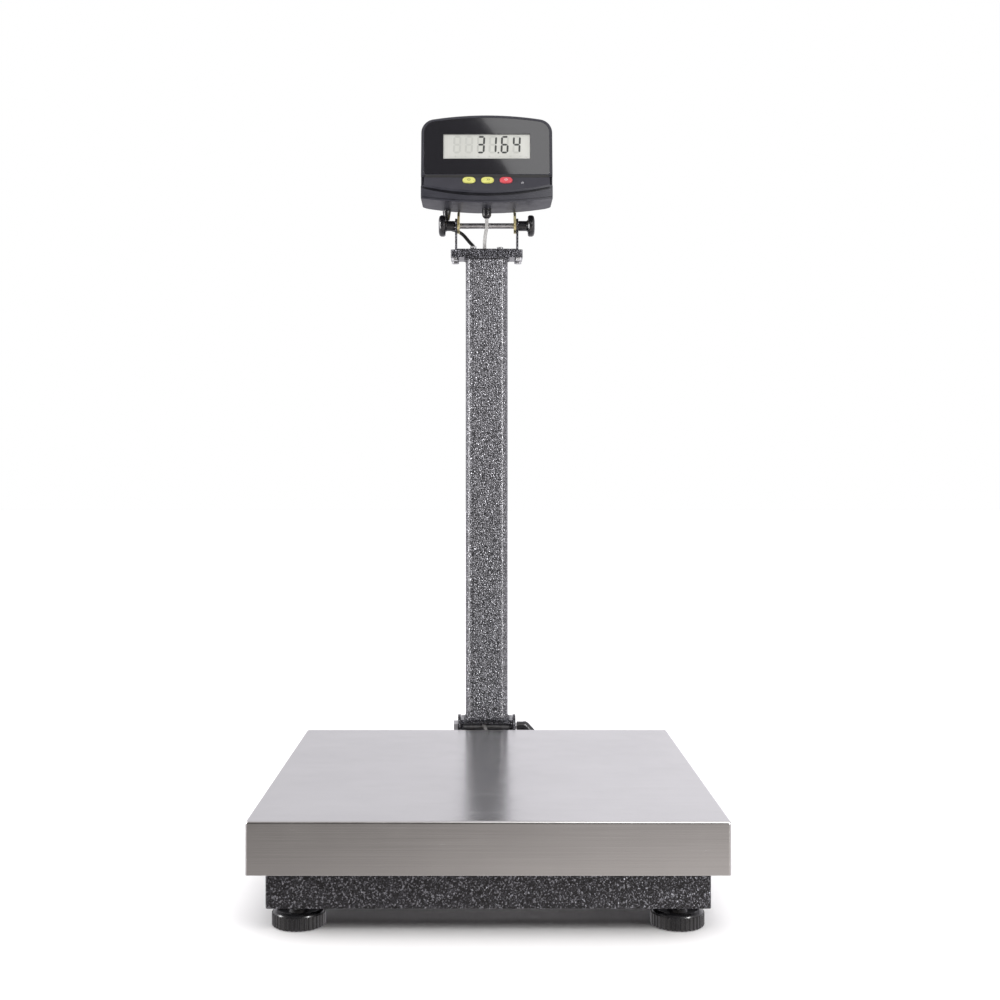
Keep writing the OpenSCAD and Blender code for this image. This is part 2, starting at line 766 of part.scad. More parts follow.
// Clamp knob: hub against the U bracket, disc outside; side is -1 or 1
module knob(side) {
    inner = knob_face;
    disc = knob_face + knob_hub_l;
    color(black) at_tilt() rotate([0, side * 90, 0]) difference() {
        rotate_extrude() difference() {
            polygon([[0, inner], [knob_hub_r, inner], [knob_hub_r, disc - 2], [knob_hub_r + 2, disc],
                [knob_r - 1.5, disc], [knob_r, disc + 2], [knob_r, disc + 6], [knob_r - 1.5, disc + 8.4],
                [knob_r - 5, knob_end], [0, knob_end]]);
        }
        translate([0, 0, inner - 1]) cylinder(h = knob_end - inner - 5, r = tilt_r + fit_gap);
    }
}

// ---- Indicator ----

// Side outline of the case, drawn in by t
module case_side(t) {
    drop = t / cos(strip_slope);
    nose_drop = (face_y - nose_y + 3) * tan(strip_slope);
    polygon([[bezel_top_y + t, head_top - t], [face_y + t, bezel_z], [face_y + t, strip_top - 0.36 * t],
        [nose_y - 3, strip_top - nose_drop - drop], [nose_y - 3, belly_z - 1], [back_y - t, belly_z - 1],
        [back_y - t, 95], [back_y - 10 - t, head_top - 8], [back_y - 16 - t, head_top - t]]);
}

function arc(center, r, from, to, n) = [for (i = [0 : n])
    let (a = from + (to - from) * i / n) center + r * [cos(a), sin(a)]];

// Outline below an arch, w wide, from low to top, with upper corners that run smoothly into the arch
module arched(w, low, top, arch, low_r, corner_r) {
    corner_x = w / 2 - corner_r;
    corner_y = top - arch + sqrt(pow(arch - corner_r, 2) - pow(corner_x, 2));
    meet = acos(corner_x / (arch - corner_r));
    polygon(concat(
        arc([corner_x, corner_y], corner_r, 0, meet, 12),
        arc([0, top - arch], arch, meet + 1, 179 - meet, 16),
        arc([-corner_x, corner_y], corner_r, 180 - meet, 180, 12),
        arc([low_r - w / 2, low + low_r], low_r, 180, 270, 8),
        arc([w / 2 - low_r, low + low_r], low_r, 270, 360, 8)));
}

// Front outline of the case: arched top, bowed bottom, rounded corners
module case_front(t) {
    intersection() {
        arched(head_w - 2 * t, belly_z, head_top - t, arch_r - t, 10, corner_r - t);
        translate([0, belly_z + belly_r]) circle(belly_r - t, $fn = 360);
    }
}

// Plan outline of the case: bowed nose, rounded corners
module case_plan(t, nose_in) {
    intersection() {
        translate([0, nose_y + nose_r]) circle(nose_r - nose_in, $fn = 360);
        rounded_rect_ends(head_w - 2 * t, nose_y, back_y - t, 14, 10 - t);
    }
}

module case_body(t, nose_in) {
    intersection() {
        along_x(-head_w, head_w) case_side(t);
        along_y(-100, 100) case_front(t);
        linear_extrude(200) case_plan(t, nose_in);
    }
}

// Face of the bezel: X across, Y up the face, Z out of it, from the face's bottom edge
module on_bezel() {
    translate([0, face_y, bezel_z]) rotate([90 - bezel_lean, 0, 0]) children();
}

// Face of the key strip: X across, Y up the slope, Z out of it, from its top edge
module on_strip() {
    translate([0, face_y, strip_top]) rotate([strip_slope, 0, 0]) children();
}

module lens_outline(out) {
    arched(head_w - 2 * lens_rim - 1 + 2 * out, 2 - out, bezel_h - lens_rim + out, arch_r + out, 4,
        corner_r - lens_rim + out);
}

module lcd_window(gap) {
    translate([-lcd_w / 2 - gap, lcd_v - gap]) square([lcd_w + 2 * gap, lcd_h + 2 * gap]);
}

module key_places() {
    for (i = [-1 : 1]) on_strip() translate([key_x0 + i * key_pitch, key_v, 0]) children();
}

// Part of the space that the front shell takes
module front_space() {
    intersection() {
        along_x(-head_w, head_w)
            polygon([[-90, 0], [-16, 0], [-16, 24], [-4, head_top + 10], [-90, head_top + 10]]);
        along_y(-100, 100) translate([0, seam_z + belly_r]) circle(belly_r, $fn = 360);
    }
}

// Recess that runs between the key strip and the lower lip
module nose_groove() {
    difference() {
        intersection() {
            block([-head_w, -80, belly_z], [head_w, face_y, 70]);
            along_y(-100, 100) translate([0, groove_z + groove_r]) circle(groove_r, $fn = 360);
            on_strip() block([-head_w, -60, -40], [head_w, 10, -2]);
        }
        translate([0, nose_y + nose_r, 0]) cylinder(h = 200, r = nose_r - groove_depth, $fn = 360);
    }
}

// Shallow groove along the front shell's lower edge
module seam_groove() {
    difference() {
        along_y(-100, -30) difference() {
            translate([0, seam_z - 0.2 + belly_r]) circle(belly_r, $fn = 360);
            translate([0, seam_z + 1 + belly_r]) circle(belly_r, $fn = 360);
            translate([-head_w, seam_z + 30]) square([2 * head_w, 2 * belly_r]);
        }
        case_body(0.9, 0.9);
    }
}

module screw_bosses(r) {
    for (p = screw_spots) translate([p[0], 0, p[1]]) rod_y(-60, back_y - 6, r);
}

module screw_pilots() {
    for (p = screw_spots) translate([p[0], 0, p[1]]) rod_y(p[2], back_y - 6, 1.6);
}

module front_shell() {
    color(case_grey) at_tilt() difference() {
        union() {
            difference() {
                intersection() {
                    case_body(0, 0);
                    front_space();
                }
                case_body(shell_t, shell_t + groove_depth);
            }
            intersection() {
                screw_bosses(4);
                case_body(1, 1 + groove_depth);
                front_space();
            }
        }
        screw_pilots();
        nose_groove();
        seam_groove();
        on_bezel() translate([0, 0, -lens_t]) linear_extrude(5) lens_outline(0.15);
        on_bezel() translate([0, 0, -12]) linear_extrude(20) lcd_window(0.2);
        key_places() translate([0, 0, -8]) linear_extrude(16)
            stadium(key_w + 2 * run_gap, key_h + 2 * run_gap);
        for (x = ends) translate([x * head_w / 2, 0, strip_top])
            block([-4, -70, -13], [4, face_y + 5, 1]);
        block([-head_w, face_y - 2, strip_top - 0.5], [head_w, face_y + 1.5, bezel_z + 1.2]);
    }
}

module rear_shell() {
    color(case_grey) at_tilt() difference() {
        case_body(0, 0);
        case_body(shell_t, shell_t + groove_depth);
        front_space();
        for (p = screw_spots) translate([p[0], 0, p[1]]) {
            rod_y(-30, 40, 1.75);
            rod_y(back_y - 4 - max(0, (p[1] - 95) * 0.19), 40, 3.6);
        }
        for (p = yoke_screw_spots) translate([p[0], 0, p[1]]) rod_y(0, 40, 2);
        translate([0, gland_y, 0]) cylinder(h = 40, r = 4);
        translate([relief_x, relief_y, 0]) cylinder(h = 40, r = 3.5);
    }
}

module display_lens() {
    color("#26262b") at_tilt() on_bezel() translate([0, 0, -lens_t]) linear_extrude(lens_t) difference() {
        lens_outline(0);
        lcd_window(0);
    }
}

module display() {
    color("#cbccc7") at_tilt() on_bezel() translate([0, 0, -lens_t - 3]) linear_extrude(3) lcd_window(0);
}

module main_board() {
    color("#2d6b3f") at_tilt() on_bezel() translate([0, 14, -lens_t - 3 - board_t])
        block([-head_w / 2 + 20.5, 0, 0], [head_w / 2 - 20.5, 58, board_t]);
}

module key_board() {
    color("#2d6b3f") at_tilt() on_strip() translate([0, 0, key_board_w])
        block([-head_w / 2 + 32.5, -16, 0], [head_w / 2 - 32.5, -1, board_t]);
}

module battery() {
    color("#5b6e8c") at_tilt() block([-45, -29, belly_z + shell_t + 4], [45, 17, belly_z + shell_t + 26]);
}

module case_screws() {
    color(steel) at_tilt() for (p = screw_spots) translate([p[0], 0, p[1]]) {
        slope = max(0, (p[1] - 95) * 0.19);
        rod_y(-10, back_y - 4 - slope, 1.6);
        rod_y(back_y - 4 - slope, back_y - 2 - slope, 3.2);
    }
}

module head_yoke() {
    color(zinc) at_tilt() difference() {
        union() {
            block([-yoke_x, back_y, 30], [yoke_x, back_y + 3, 68]);
            both_sides(yoke_x, yoke_t) {
                circle(11);
                polygon([[-11, 0], [-11, 12], [-5, 18], [back_y, 18], [back_y, 68], [back_y + 3, 68],
                    [back_y + 3, 12], [8, -7.5], [0, 0]]);
            }
        }
        rod_x(-u_w, u_w, tilt_r + fit_gap);
        for (p = yoke_screw_spots) translate([p[0], 0, p[1]]) rod_y(0, 40, 2);
    }
}

module yoke_screws() {
    color(steel) at_tilt() for (p = yoke_screw_spots) translate([p[0], 0, p[1]]) {
        rod_y(back_y - 6, back_y + 3, 2);
        rod_y(back_y + 3, back_y + 3 + yoke_screw_h, 3.6);
    }
}

// Dome gland of the load cell's cable and strain relief of the power lead
module head_glands() {
    lead_z = 11;
    color(black) at_tilt() {
        translate([0, gland_y, 0]) difference() {
            union() {
                translate([0, 0, dome_z]) sphere(6.6);
                translate([0, 0, dome_z]) cylinder(h = belly_z - dome_z, r = 6.6);
                translate([0, 0, belly_z - eps]) cylinder(h = 6, r = 4);
            }
            cylinder(h = 40, r = cable_r);
        }
        translate([relief_x, relief_y, 0]) difference() {
            union() {
                translate([0, 0, lead_z]) cylinder(h = belly_z + 6 - lead_z, r = 3.5);
                translate([0, 0, lead_z]) cylinder(h = belly_z + 1.4 - lead_z, r1 = 4, r2 = 6.2);
            }
            translate([0, 0, lead_z - 1]) cylinder(h = 3, r = 0.5);
        }
    }
}

module key(i, tone) {
    color(tone) at_tilt() on_strip() translate([key_x0 + i * key_pitch, key_v, 0]) {
        translate([0, 0, -shell_t - 1]) linear_extrude(shell_t + 1 + key_rise) stadium(key_w, key_h);
        translate([0, 0, key_board_w + board_t + key_travel + 0.2])
            cylinder(h = -shell_t - 1 + eps - (key_board_w + board_t + key_travel + 0.2), r = 3);
    }
}

base_frame();
base_beam();
foot_nut_plates();
foot_lock_nuts();
cell_spacers();
load_cell();
cell_bolts();
tray_carrier();
tray_pads();
stop_screws();
bubble_level();
base_gland();
cell_cable();
mast_bracket();
bracket_screws();
fold_bolt();
tray();
clamp_lever();
foot_sole(corners[0]);  // foot_sole_front_left
foot_sole(corners[1]);  // foot_sole_front_right
foot_sole(corners[2]);  // foot_sole_rear_left
foot_sole(corners[3]);  // foot_sole_rear_right
foot_disc(corners[0]);  // foot_disc_front_left
foot_disc(corners[1]);  // foot_disc_front_right
foot_disc(corners[2]);  // foot_disc_rear_left
foot_disc(corners[3]);  // foot_disc_rear_right
foot_stud(corners[0]);  // foot_stud_front_left
foot_stud(corners[1]);  // foot_stud_front_right
foot_stud(corners[2]);  // foot_stud_rear_left
foot_stud(corners[3]);  // foot_stud_rear_right
mast_foot();
mast_tube();
mast_plate();
head_plate();
head_bracket();
plate_bolts();
plate_grommets();
mast_cable();
mast_lead();
power_socket();
tilt_shaft();
fold_cable();
head_cable();
head_lead();
knob(-1);  // knob_left
knob(1);  // knob_right
head_yoke();
yoke_screws();
front_shell();
rear_shell();
display_lens();
display();
main_board();
key_board();
battery();
case_screws();
head_glands();
key(-1, "#d7d76e");  // key_zero
key(0, "#d7d76e");  // key_tare
key(1, "#d74650");  // key_power
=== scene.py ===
from math import cos, pi, radians, sin

import bmesh
import bpy
from mathutils import Matrix, Vector


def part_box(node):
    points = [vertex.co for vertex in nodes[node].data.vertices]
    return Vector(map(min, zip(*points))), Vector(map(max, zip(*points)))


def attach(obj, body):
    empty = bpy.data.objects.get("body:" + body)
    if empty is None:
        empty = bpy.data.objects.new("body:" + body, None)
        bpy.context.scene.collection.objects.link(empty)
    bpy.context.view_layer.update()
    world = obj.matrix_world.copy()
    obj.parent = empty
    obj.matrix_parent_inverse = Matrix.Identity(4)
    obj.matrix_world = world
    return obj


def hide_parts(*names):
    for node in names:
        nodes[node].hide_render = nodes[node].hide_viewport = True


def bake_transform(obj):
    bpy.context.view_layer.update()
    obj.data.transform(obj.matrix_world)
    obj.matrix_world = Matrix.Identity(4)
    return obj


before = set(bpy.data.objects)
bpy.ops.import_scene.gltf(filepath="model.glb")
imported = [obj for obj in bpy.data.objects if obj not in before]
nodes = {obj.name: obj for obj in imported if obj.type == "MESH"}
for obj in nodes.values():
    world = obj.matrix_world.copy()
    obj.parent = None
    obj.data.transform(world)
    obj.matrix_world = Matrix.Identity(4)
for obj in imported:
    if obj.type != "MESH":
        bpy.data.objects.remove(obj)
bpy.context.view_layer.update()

# Bench scale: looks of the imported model. Lengths are in metres, in the model's own frame.

scene = bpy.context.scene

tray_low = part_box("tray")[0]
tube_low, tube_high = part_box("mast_tube")
shaft_low, shaft_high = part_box("tilt_shaft")
mast_axis = (tube_low + tube_high) / 2
tilt_axis = (shaft_low + shaft_high) / 2


# ---- Camera, floor and light ----

CAMERA_TO_TRAY = 1.403
CAMERA_HEIGHT = 0.4796
CAMERA_SIDE = -0.006
FLOOR_SIZE = 30.0


def make_camera():
    data = bpy.data.cameras.new("camera")
    data.lens = 49.2
    data.sensor_width = 36
    data.shift_x = 0.0175
    data.shift_y = -0.028
    camera = bpy.data.objects.new("camera", data)
    camera.location = (CAMERA_SIDE, tray_low.y - CAMERA_TO_TRAY, CAMERA_HEIGHT)
    camera.rotation_euler = (radians(90), 0, 0)
    scene.collection.objects.link(camera)
    scene.camera = camera


def make_area_light(name, place, target, size, power, roll=0.0, highlights_only=False):
    data = bpy.data.lights.new(name, "AREA")
    data.shape = "RECTANGLE"
    data.size, data.size_y = size
    data.energy = power
    light = bpy.data.objects.new(name, data)
    light.location = place
    aim = (Vector(target) - Vector(place)).to_track_quat("-Z", "Y").to_matrix()
    light.rotation_euler = (aim @ Matrix.Rotation(roll, 3, "Z")).to_euler()
    light.visible_diffuse = not highlights_only
    scene.collection.objects.link(light)


def make_overhead_light(strength):
    """Wide, even light from above, which whitens the floor as far as it goes."""
    data = bpy.data.lights.new("overhead", "SUN")
    data.energy = strength
    data.angle = radians(110)
    light = bpy.data.objects.new("overhead", data)
    light.visible_glossy = False
    scene.collection.objects.link(light)


def make_world():
    """White studio: bright behind the object, dark in front and above, brighter on the right."""
    world = bpy.data.worlds.new("studio")
    world.use_nodes = True
    scene.world = world
    tree = world.node_tree
    tree.nodes.clear()
    new = tree.nodes.new
    link = tree.links.new
    direction = new("ShaderNodeTexCoord")
    split = new("ShaderNodeSeparateXYZ")
    link(direction.outputs["Generated"], split.inputs[0])

    def ramp(axis, start, end, dark, light):
        spread = new("ShaderNodeMapRange")
        spread.interpolation_type = "SMOOTHSTEP"
        link(split.outputs[axis], spread.inputs["Value"])
        spread.inputs["From Min"].default_value = start
        spread.inputs["From Max"].default_value = end
        spread.inputs["To Min"].default_value = dark
        spread.inputs["To Max"].default_value = light
        return spread.outputs["Result"]

    def times(a, b):
        product = new("ShaderNodeMath")
        product.operation = "MULTIPLY"
        link(a, product.inputs[0])
        link(b, product.inputs[1])
        return product.outputs[0]

    # Limits of each ramp are parts of the unit direction, levels are brightness
    behind = ramp("X", -0.2, 0.2, 0.80, 0.97)
    in_front = times(ramp("Z", -0.34, -0.19, 0.85, 0.16), ramp("X", -0.22, 0.22, 0.6, 1.15))
    level = new("ShaderNodeMapRange")
    link(ramp("Y", -0.9, 0.1, 0.0, 1.0), level.inputs["Value"])
    link(in_front, level.inputs["To Min"])
    link(behind, level.inputs["To Max"])
    tint = new("ShaderNodeMix")
    tint.data_type = "RGBA"
    link(ramp("Y", -0.6, 0.4, 0.0, 1.0), tint.inputs[0])
    tint.inputs[6].default_value = (1.0, 0.93, 0.90, 1)
    tint.inputs[7].default_value = (0.965, 0.945, 1.0, 1)
    studio = new("ShaderNodeBackground")
    link(tint.outputs[2], studio.inputs["Color"])
    link(level.outputs["Result"], studio.inputs["Strength"])
    backdrop = new("ShaderNodeBackground")
    backdrop.inputs["Color"].default_value = (1, 1, 1, 1)
    path = new("ShaderNodeLightPath")
    either = new("ShaderNodeMixShader")
    link(path.outputs["Is Camera Ray"], either.inputs[0])
    link(studio.outputs[0], either.inputs[1])
    link(backdrop.outputs[0], either.inputs[2])
    output = new("ShaderNodeOutputWorld")
    link(either.outputs[0], output.inputs["Surface"])


def make_floor():
    half = FLOOR_SIZE / 2
    mesh = bpy.data.meshes.new("floor")
    corners = [(-half, -half, 0), (half, -half, 0), (half, half, 0), (-half, half, 0)]
    mesh.from_pydata(corners, [], [(0, 1, 2, 3)])
    floor = bpy.data.objects.new("floor", mesh)
    floor.visible_glossy = False
    scene.collection.objects.link(floor)
    material = bpy.data.materials.new("floor")
    material.use_nodes = True
    shader = material.node_tree.nodes["Principled BSDF"]
    shader.inputs["Base Color"].default_value = (0.93, 0.93, 0.93, 1)
    shader.inputs["Roughness"].default_value = 0.8
    mesh.materials.append(material)


make_camera()
make_world()
make_floor()
make_area_light("key", (1.0, -1.75, 2.45), (0.1, 0.2, 0.9), (2.0, 1.9), 26, radians(12))
make_area_light("left", (-2.2, -0.3, 1.2), (0, 0, 0.4), (1.0, 1.8), 9)
make_area_light("left_strip", (-2.3, -0.45, 0.9), (0, 0.26, 0.5), (0.45, 2.2), 60, highlights_only=True)
make_area_light("right_strip", (1.6, -1.7, 0.9), (0, 0.26, 0.5), (0.3, 2.2), 60, highlights_only=True)
make_overhead_light(2.3)
scene.view_settings.view_transform = "Standard"


# ---- Materials ----


class Finish:
    """A procedural material and the short calls that build its nodes."""

    def __init__(self, name, roughness=0.4, metallic=0.0, **sockets):
        self.material = bpy.data.materials.new(name)
        self.material.use_nodes = True
        self.tree = self.material.node_tree
        self.shader = self.tree.nodes["Principled BSDF"]
        self.place = self.add("ShaderNodeTexCoord").outputs["Object"]
        self.normal = None
        self.shader.inputs["Roughness"].default_value = roughness
        self.shader.inputs["Metallic"].default_value = metallic
        for socket, value in sockets.items():
            self.shader.inputs[socket.replace("_", " ")].default_value = value

    def add(self, kind, **settings):
        node = self.tree.nodes.new(kind)
        for name, value in settings.items():
            setattr(node, name, value)
        return node

    def link(self, start, end):
        self.tree.links.new(start, end)

    def stretched(self, scale):
        """The surface's own coordinates, scaled along each axis."""
        mapping = self.add("ShaderNodeMapping")
        self.link(self.place, mapping.inputs["Vector"])
        mapping.inputs["Scale"].default_value = scale
        return mapping.outputs[0]

    def noise(self, scale, detail=2.0, roughness=0.5, along=None):
        node = self.add("ShaderNodeTexNoise")
        self.link(self.stretched(along) if along else self.place, node.inputs["Vector"])
        node.inputs["Scale"].default_value = scale
        node.inputs["Detail"].default_value = detail
        node.inputs["Roughness"].default_value = roughness
        return node.outputs[0]

    def remap(self, value, low, high, to_low=0.0, to_high=1.0):
        node = self.add("ShaderNodeMapRange")
        self.link(value, node.inputs["Value"])
        for name, number in zip(("From Min", "From Max", "To Min", "To Max"), (low, high, to_low, to_high)):
            node.inputs[name].default_value = number
        return node.outputs[0]

    def math(self, operation, a, b):
        node = self.add("ShaderNodeMath", operation=operation)
        for socket, value in zip(node.inputs, (a, b)):
            if isinstance(value, (int, float)):
                socket.default_value = value
            else:
                self.link(value, socket)
        return node.outputs[0]

    def blend(self, share, low, high):
        """A colour from low to high as share goes from 0 to 1."""
        node = self.add("ShaderNodeMix", data_type="RGBA")
        self.link(share, node.inputs[0])
        for socket, value in zip((node.inputs[6], node.inputs[7]), (low, high)):
            if isinstance(value, tuple):
                socket.default_value = (*value, 1)
            else:
                self.link(value, socket)
        return node.outputs[2]

    def colour(self, output):
        self.link(output, self.shader.inputs["Base Color"])

    def roughness(self, output):
        self.link(output, self.shader.inputs["Roughness"])

    def bump(self, height, distance, strength=1.0):
        node = self.add("ShaderNodeBump")
        node.inputs["Strength"].default_value = strength
        node.inputs["Distance"].default_value = distance
        self.link(height, node.inputs["Height"])
        if self.normal:
            self.link(self.normal, node.inputs["Normal"])
        self.normal = node.outputs[0]
        self.link(self.normal, self.shader.inputs["Normal"])


def hammertone(name, dark, light, glint_colour):
    """Hammered paint: rounded cells about 3 mm across, with painted shade darkening the creases between them
    and painted glints as light specks.
    """
    paint = Finish(name, metallic=0.55, Coat_Weight=0.5, Coat_Roughness=0.14)
    warp = paint.add("ShaderNodeMix", data_type="VECTOR")
    waves = paint.add("ShaderNodeTexNoise")
    paint.link(paint.place, waves.inputs["Vector"])
    waves.inputs["Scale"].default_value = 190
    warp.inputs[0].default_value = 0.0022
    paint.link(paint.place, warp.inputs[4])
    paint.link(waves.outputs["Color"], warp.inputs[5])
    cells = paint.add("ShaderNodeTexVoronoi", feature="DISTANCE_TO_EDGE")
    cells.inputs["Scale"].default_value = 330
    cells.inputs["Randomness"].default_value = 0.95
    paint.link(warp.outputs[1], cells.inputs["Vector"])
    dome = paint.remap(cells.outputs["Distance"], 0.0, 0.32)
    tone = paint.noise(240, 2)
    body = paint.blend(paint.remap(tone, 0.38, 0.62), dark, light)
    # Darker creases between the cells: painted shade.
    crease_shade = tuple(0.3 * value for value in dark)
    body = paint.blend(paint.remap(cells.outputs["Distance"], 0.02, 0.20), crease_shade, body)
    # Light specks on the cells: painted glints, highlights put into the colour.
    glint_mask = paint.remap(paint.noise(560, 1), 0.54, 0.72)
    paint.colour(paint.blend(glint_mask, body, glint_colour))
    paint.roughness(paint.remap(tone, 0.3, 0.7, 0.26, 0.42))
    paint.bump(dome, 0.0007, 0.6)
    paint.bump(paint.noise(1400, 2), 0.00008, 0.4)
    return paint.material


def brushed_steel(name):
    """Stainless sheet, brushed along X, and down the two sides that are folded from the same grain."""
    sheet = Finish(name, metallic=1.0)
    across = sheet.noise(1.0, 3, 0.65, along=(6, 1500, 1500))
    down = sheet.noise(1.0, 3, 0.65, along=(1500, 1500, 6))
    facing = sheet.add("ShaderNodeNewGeometry")
    split = sheet.add("ShaderNodeSeparateXYZ")
    sheet.link(facing.outputs["True Normal"], split.inputs[0])
    sideways = sheet.math("ABSOLUTE", split.outputs["X"], 0.0)
    side = sheet.math("GREATER_THAN", sideways, 0.7)
    grain = sheet.math("ADD", sheet.math("MULTIPLY", across, sheet.math("SUBTRACT", 1.0, side)),
                       sheet.math("MULTIPLY", down, side))
    clouds = sheet.noise(7, 3)
    tone = sheet.math("ADD", sheet.remap(grain, 0.3, 0.7, 0.0, 0.6), sheet.remap(clouds, 0.3, 0.7, 0.0, 0.4))
    sheet.colour(sheet.blend(tone, (0.57, 0.565, 0.56), (0.69, 0.685, 0.68)))
    smears = sheet.remap(sheet.noise(38, 4), 0.45, 0.8, 0.0, 0.05)
    sheet.roughness(sheet.math("ADD", sheet.remap(grain, 0.25, 0.75, 0.17, 0.25), smears))
    sheet.bump(grain, 0.000012, 0.3)
    return sheet.material


def cast_metal(name, dark, light, roughness, grain=900, metallic=1.0):
    """Bare or plated metal with a fine grain, soft stains and small scratches."""
    metal = Finish(name, metallic=metallic)
    stains = metal.noise(120, 4, 0.6)
    fine = metal.noise(grain, 2)
    scratches = metal.remap(metal.noise(1.0, 2, along=(90, 2600, 260)), 0.58, 0.75)
    tone = metal.blend(metal.remap(stains, 0.3, 0.7), dark, light)
    metal.colour(metal.blend(metal.math("MULTIPLY", scratches, 0.25), tone, (0.85, 0.85, 0.85)))
    metal.roughness(metal.remap(stains, 0.3, 0.7, roughness, roughness + 0.14))
    metal.bump(fine, 0.00005, 0.4)
    metal.bump(scratches, 0.00003, 0.3)
    return metal.material


def chromated_zinc():
    """Yellow chromate over zinc, with its greenish clouds."""
    metal = Finish("yellow_zinc_finish", metallic=0.9)
    clouds = metal.noise(70, 3, 0.6)
    tint = metal.noise(45, 2)
    warm = metal.blend(metal.remap(clouds, 0.3, 0.7), (0.66, 0.54, 0.24), (0.86, 0.78, 0.48))
    metal.colour(metal.blend(metal.remap(tint, 0.52, 0.75, 0.0, 0.55), warm, (0.66, 0.74, 0.42)))
    metal.roughness(metal.remap(clouds, 0.3, 0.7, 0.28, 0.44))
    metal.bump(metal.noise(1100, 2), 0.00004, 0.4)
    return metal.material


def moulded(name, dark, light, roughness, grain_size, depth, **sockets):
    """Moulded plastic or rubber: spark-eroded grain, slight cloudiness, worn shine."""
    part = Finish(name, **sockets)
    grain = part.add("ShaderNodeTexVoronoi", feature="SMOOTH_F1")
    grain.inputs["Scale"].default_value = 1 / grain_size
    part.link(part.place, grain.inputs["Vector"])
    clouds = part.noise(60, 3)
    pits = part.remap(grain.outputs["Distance"], 0.15, 0.75)
    tone = part.blend(part.remap(clouds, 0.3, 0.7), dark, light)
    part.colour(part.blend(part.math("MULTIPLY", pits, 0.3), tone, tuple(0.7 * value for value in dark)))
    worn = part.math("MULTIPLY", part.remap(clouds, 0.35, 0.65), 0.08)
    part.roughness(part.math("ADD", part.remap(pits, 0, 1, roughness - 0.05, roughness + 0.05), worn))
    part.bump(pits, depth, 0.5)
    return part.material


def glossy_overlay():
    """Dark window of the bezel: clear hard coat over smoked plastic, hardly wavy."""
    part = Finish("lens_finish", roughness=0.09, Coat_Weight=0.6, Coat_Roughness=0.03)
    clouds = part.noise(14, 2)
    part.colour(part.blend(clouds, (0.011, 0.011, 0.014), (0.015, 0.015, 0.019)))
    dust = part.remap(part.noise(1900, 1), 0.7, 0.8, 0.0, 0.12)
    part.roughness(part.math("ADD", dust, 0.07))
    part.bump(part.noise(26, 1), 0.00018, 0.35)
    return part.material


def liquid_crystal():
    """Reflective display: pale grey-green with fine upright lines in its surface, whose darker colour is
    painted reflection.
    """
    part = Finish("lcd_finish", Coat_Weight=0.25, Coat_Roughness=0.12)
    lines = part.noise(1.0, 2, along=(1900, 3, 3))
    clouds = part.noise(22, 2)
    tone = part.blend(part.remap(clouds, 0.3, 0.7), (0.52, 0.53, 0.49), (0.60, 0.605, 0.57))
    # The darker colour along the lines is painted reflection.
    part.colour(part.blend(part.remap(lines, 0.35, 0.75, 0.0, 0.35), tone, (0.42, 0.43, 0.39)))
    part.roughness(part.remap(lines, 0.3, 0.7, 0.3, 0.42))
    part.bump(lines, 0.00001, 0.2)
    return part.material


def circuit_board():
    """Solder mask over copper tracks."""
    part = Finish("board_finish", Coat_Weight=0.4, Coat_Roughness=0.15)
    bricks = part.add("ShaderNodeTexBrick", offset=0.37, squash=1.6, squash_frequency=3)
    part.link(part.place, bricks.inputs["Vector"])
    bricks.inputs["Scale"].default_value = 160
    bricks.inputs["Mortar Size"].default_value = 0.05
    bricks.inputs["Color1"].default_value = (0.010, 0.085, 0.028, 1)
    bricks.inputs["Color2"].default_value = (0.014, 0.105, 0.036, 1)
    bricks.inputs["Mortar"].default_value = (0.05, 0.20, 0.06, 1)
    part.colour(bricks.outputs["Color"])
    part.roughness(part.remap(part.noise(300, 2), 0.3, 0.7, 0.3, 0.45))
    part.bump(bricks.outputs["Fac"], 0.00004, 0.5)
    return part.material


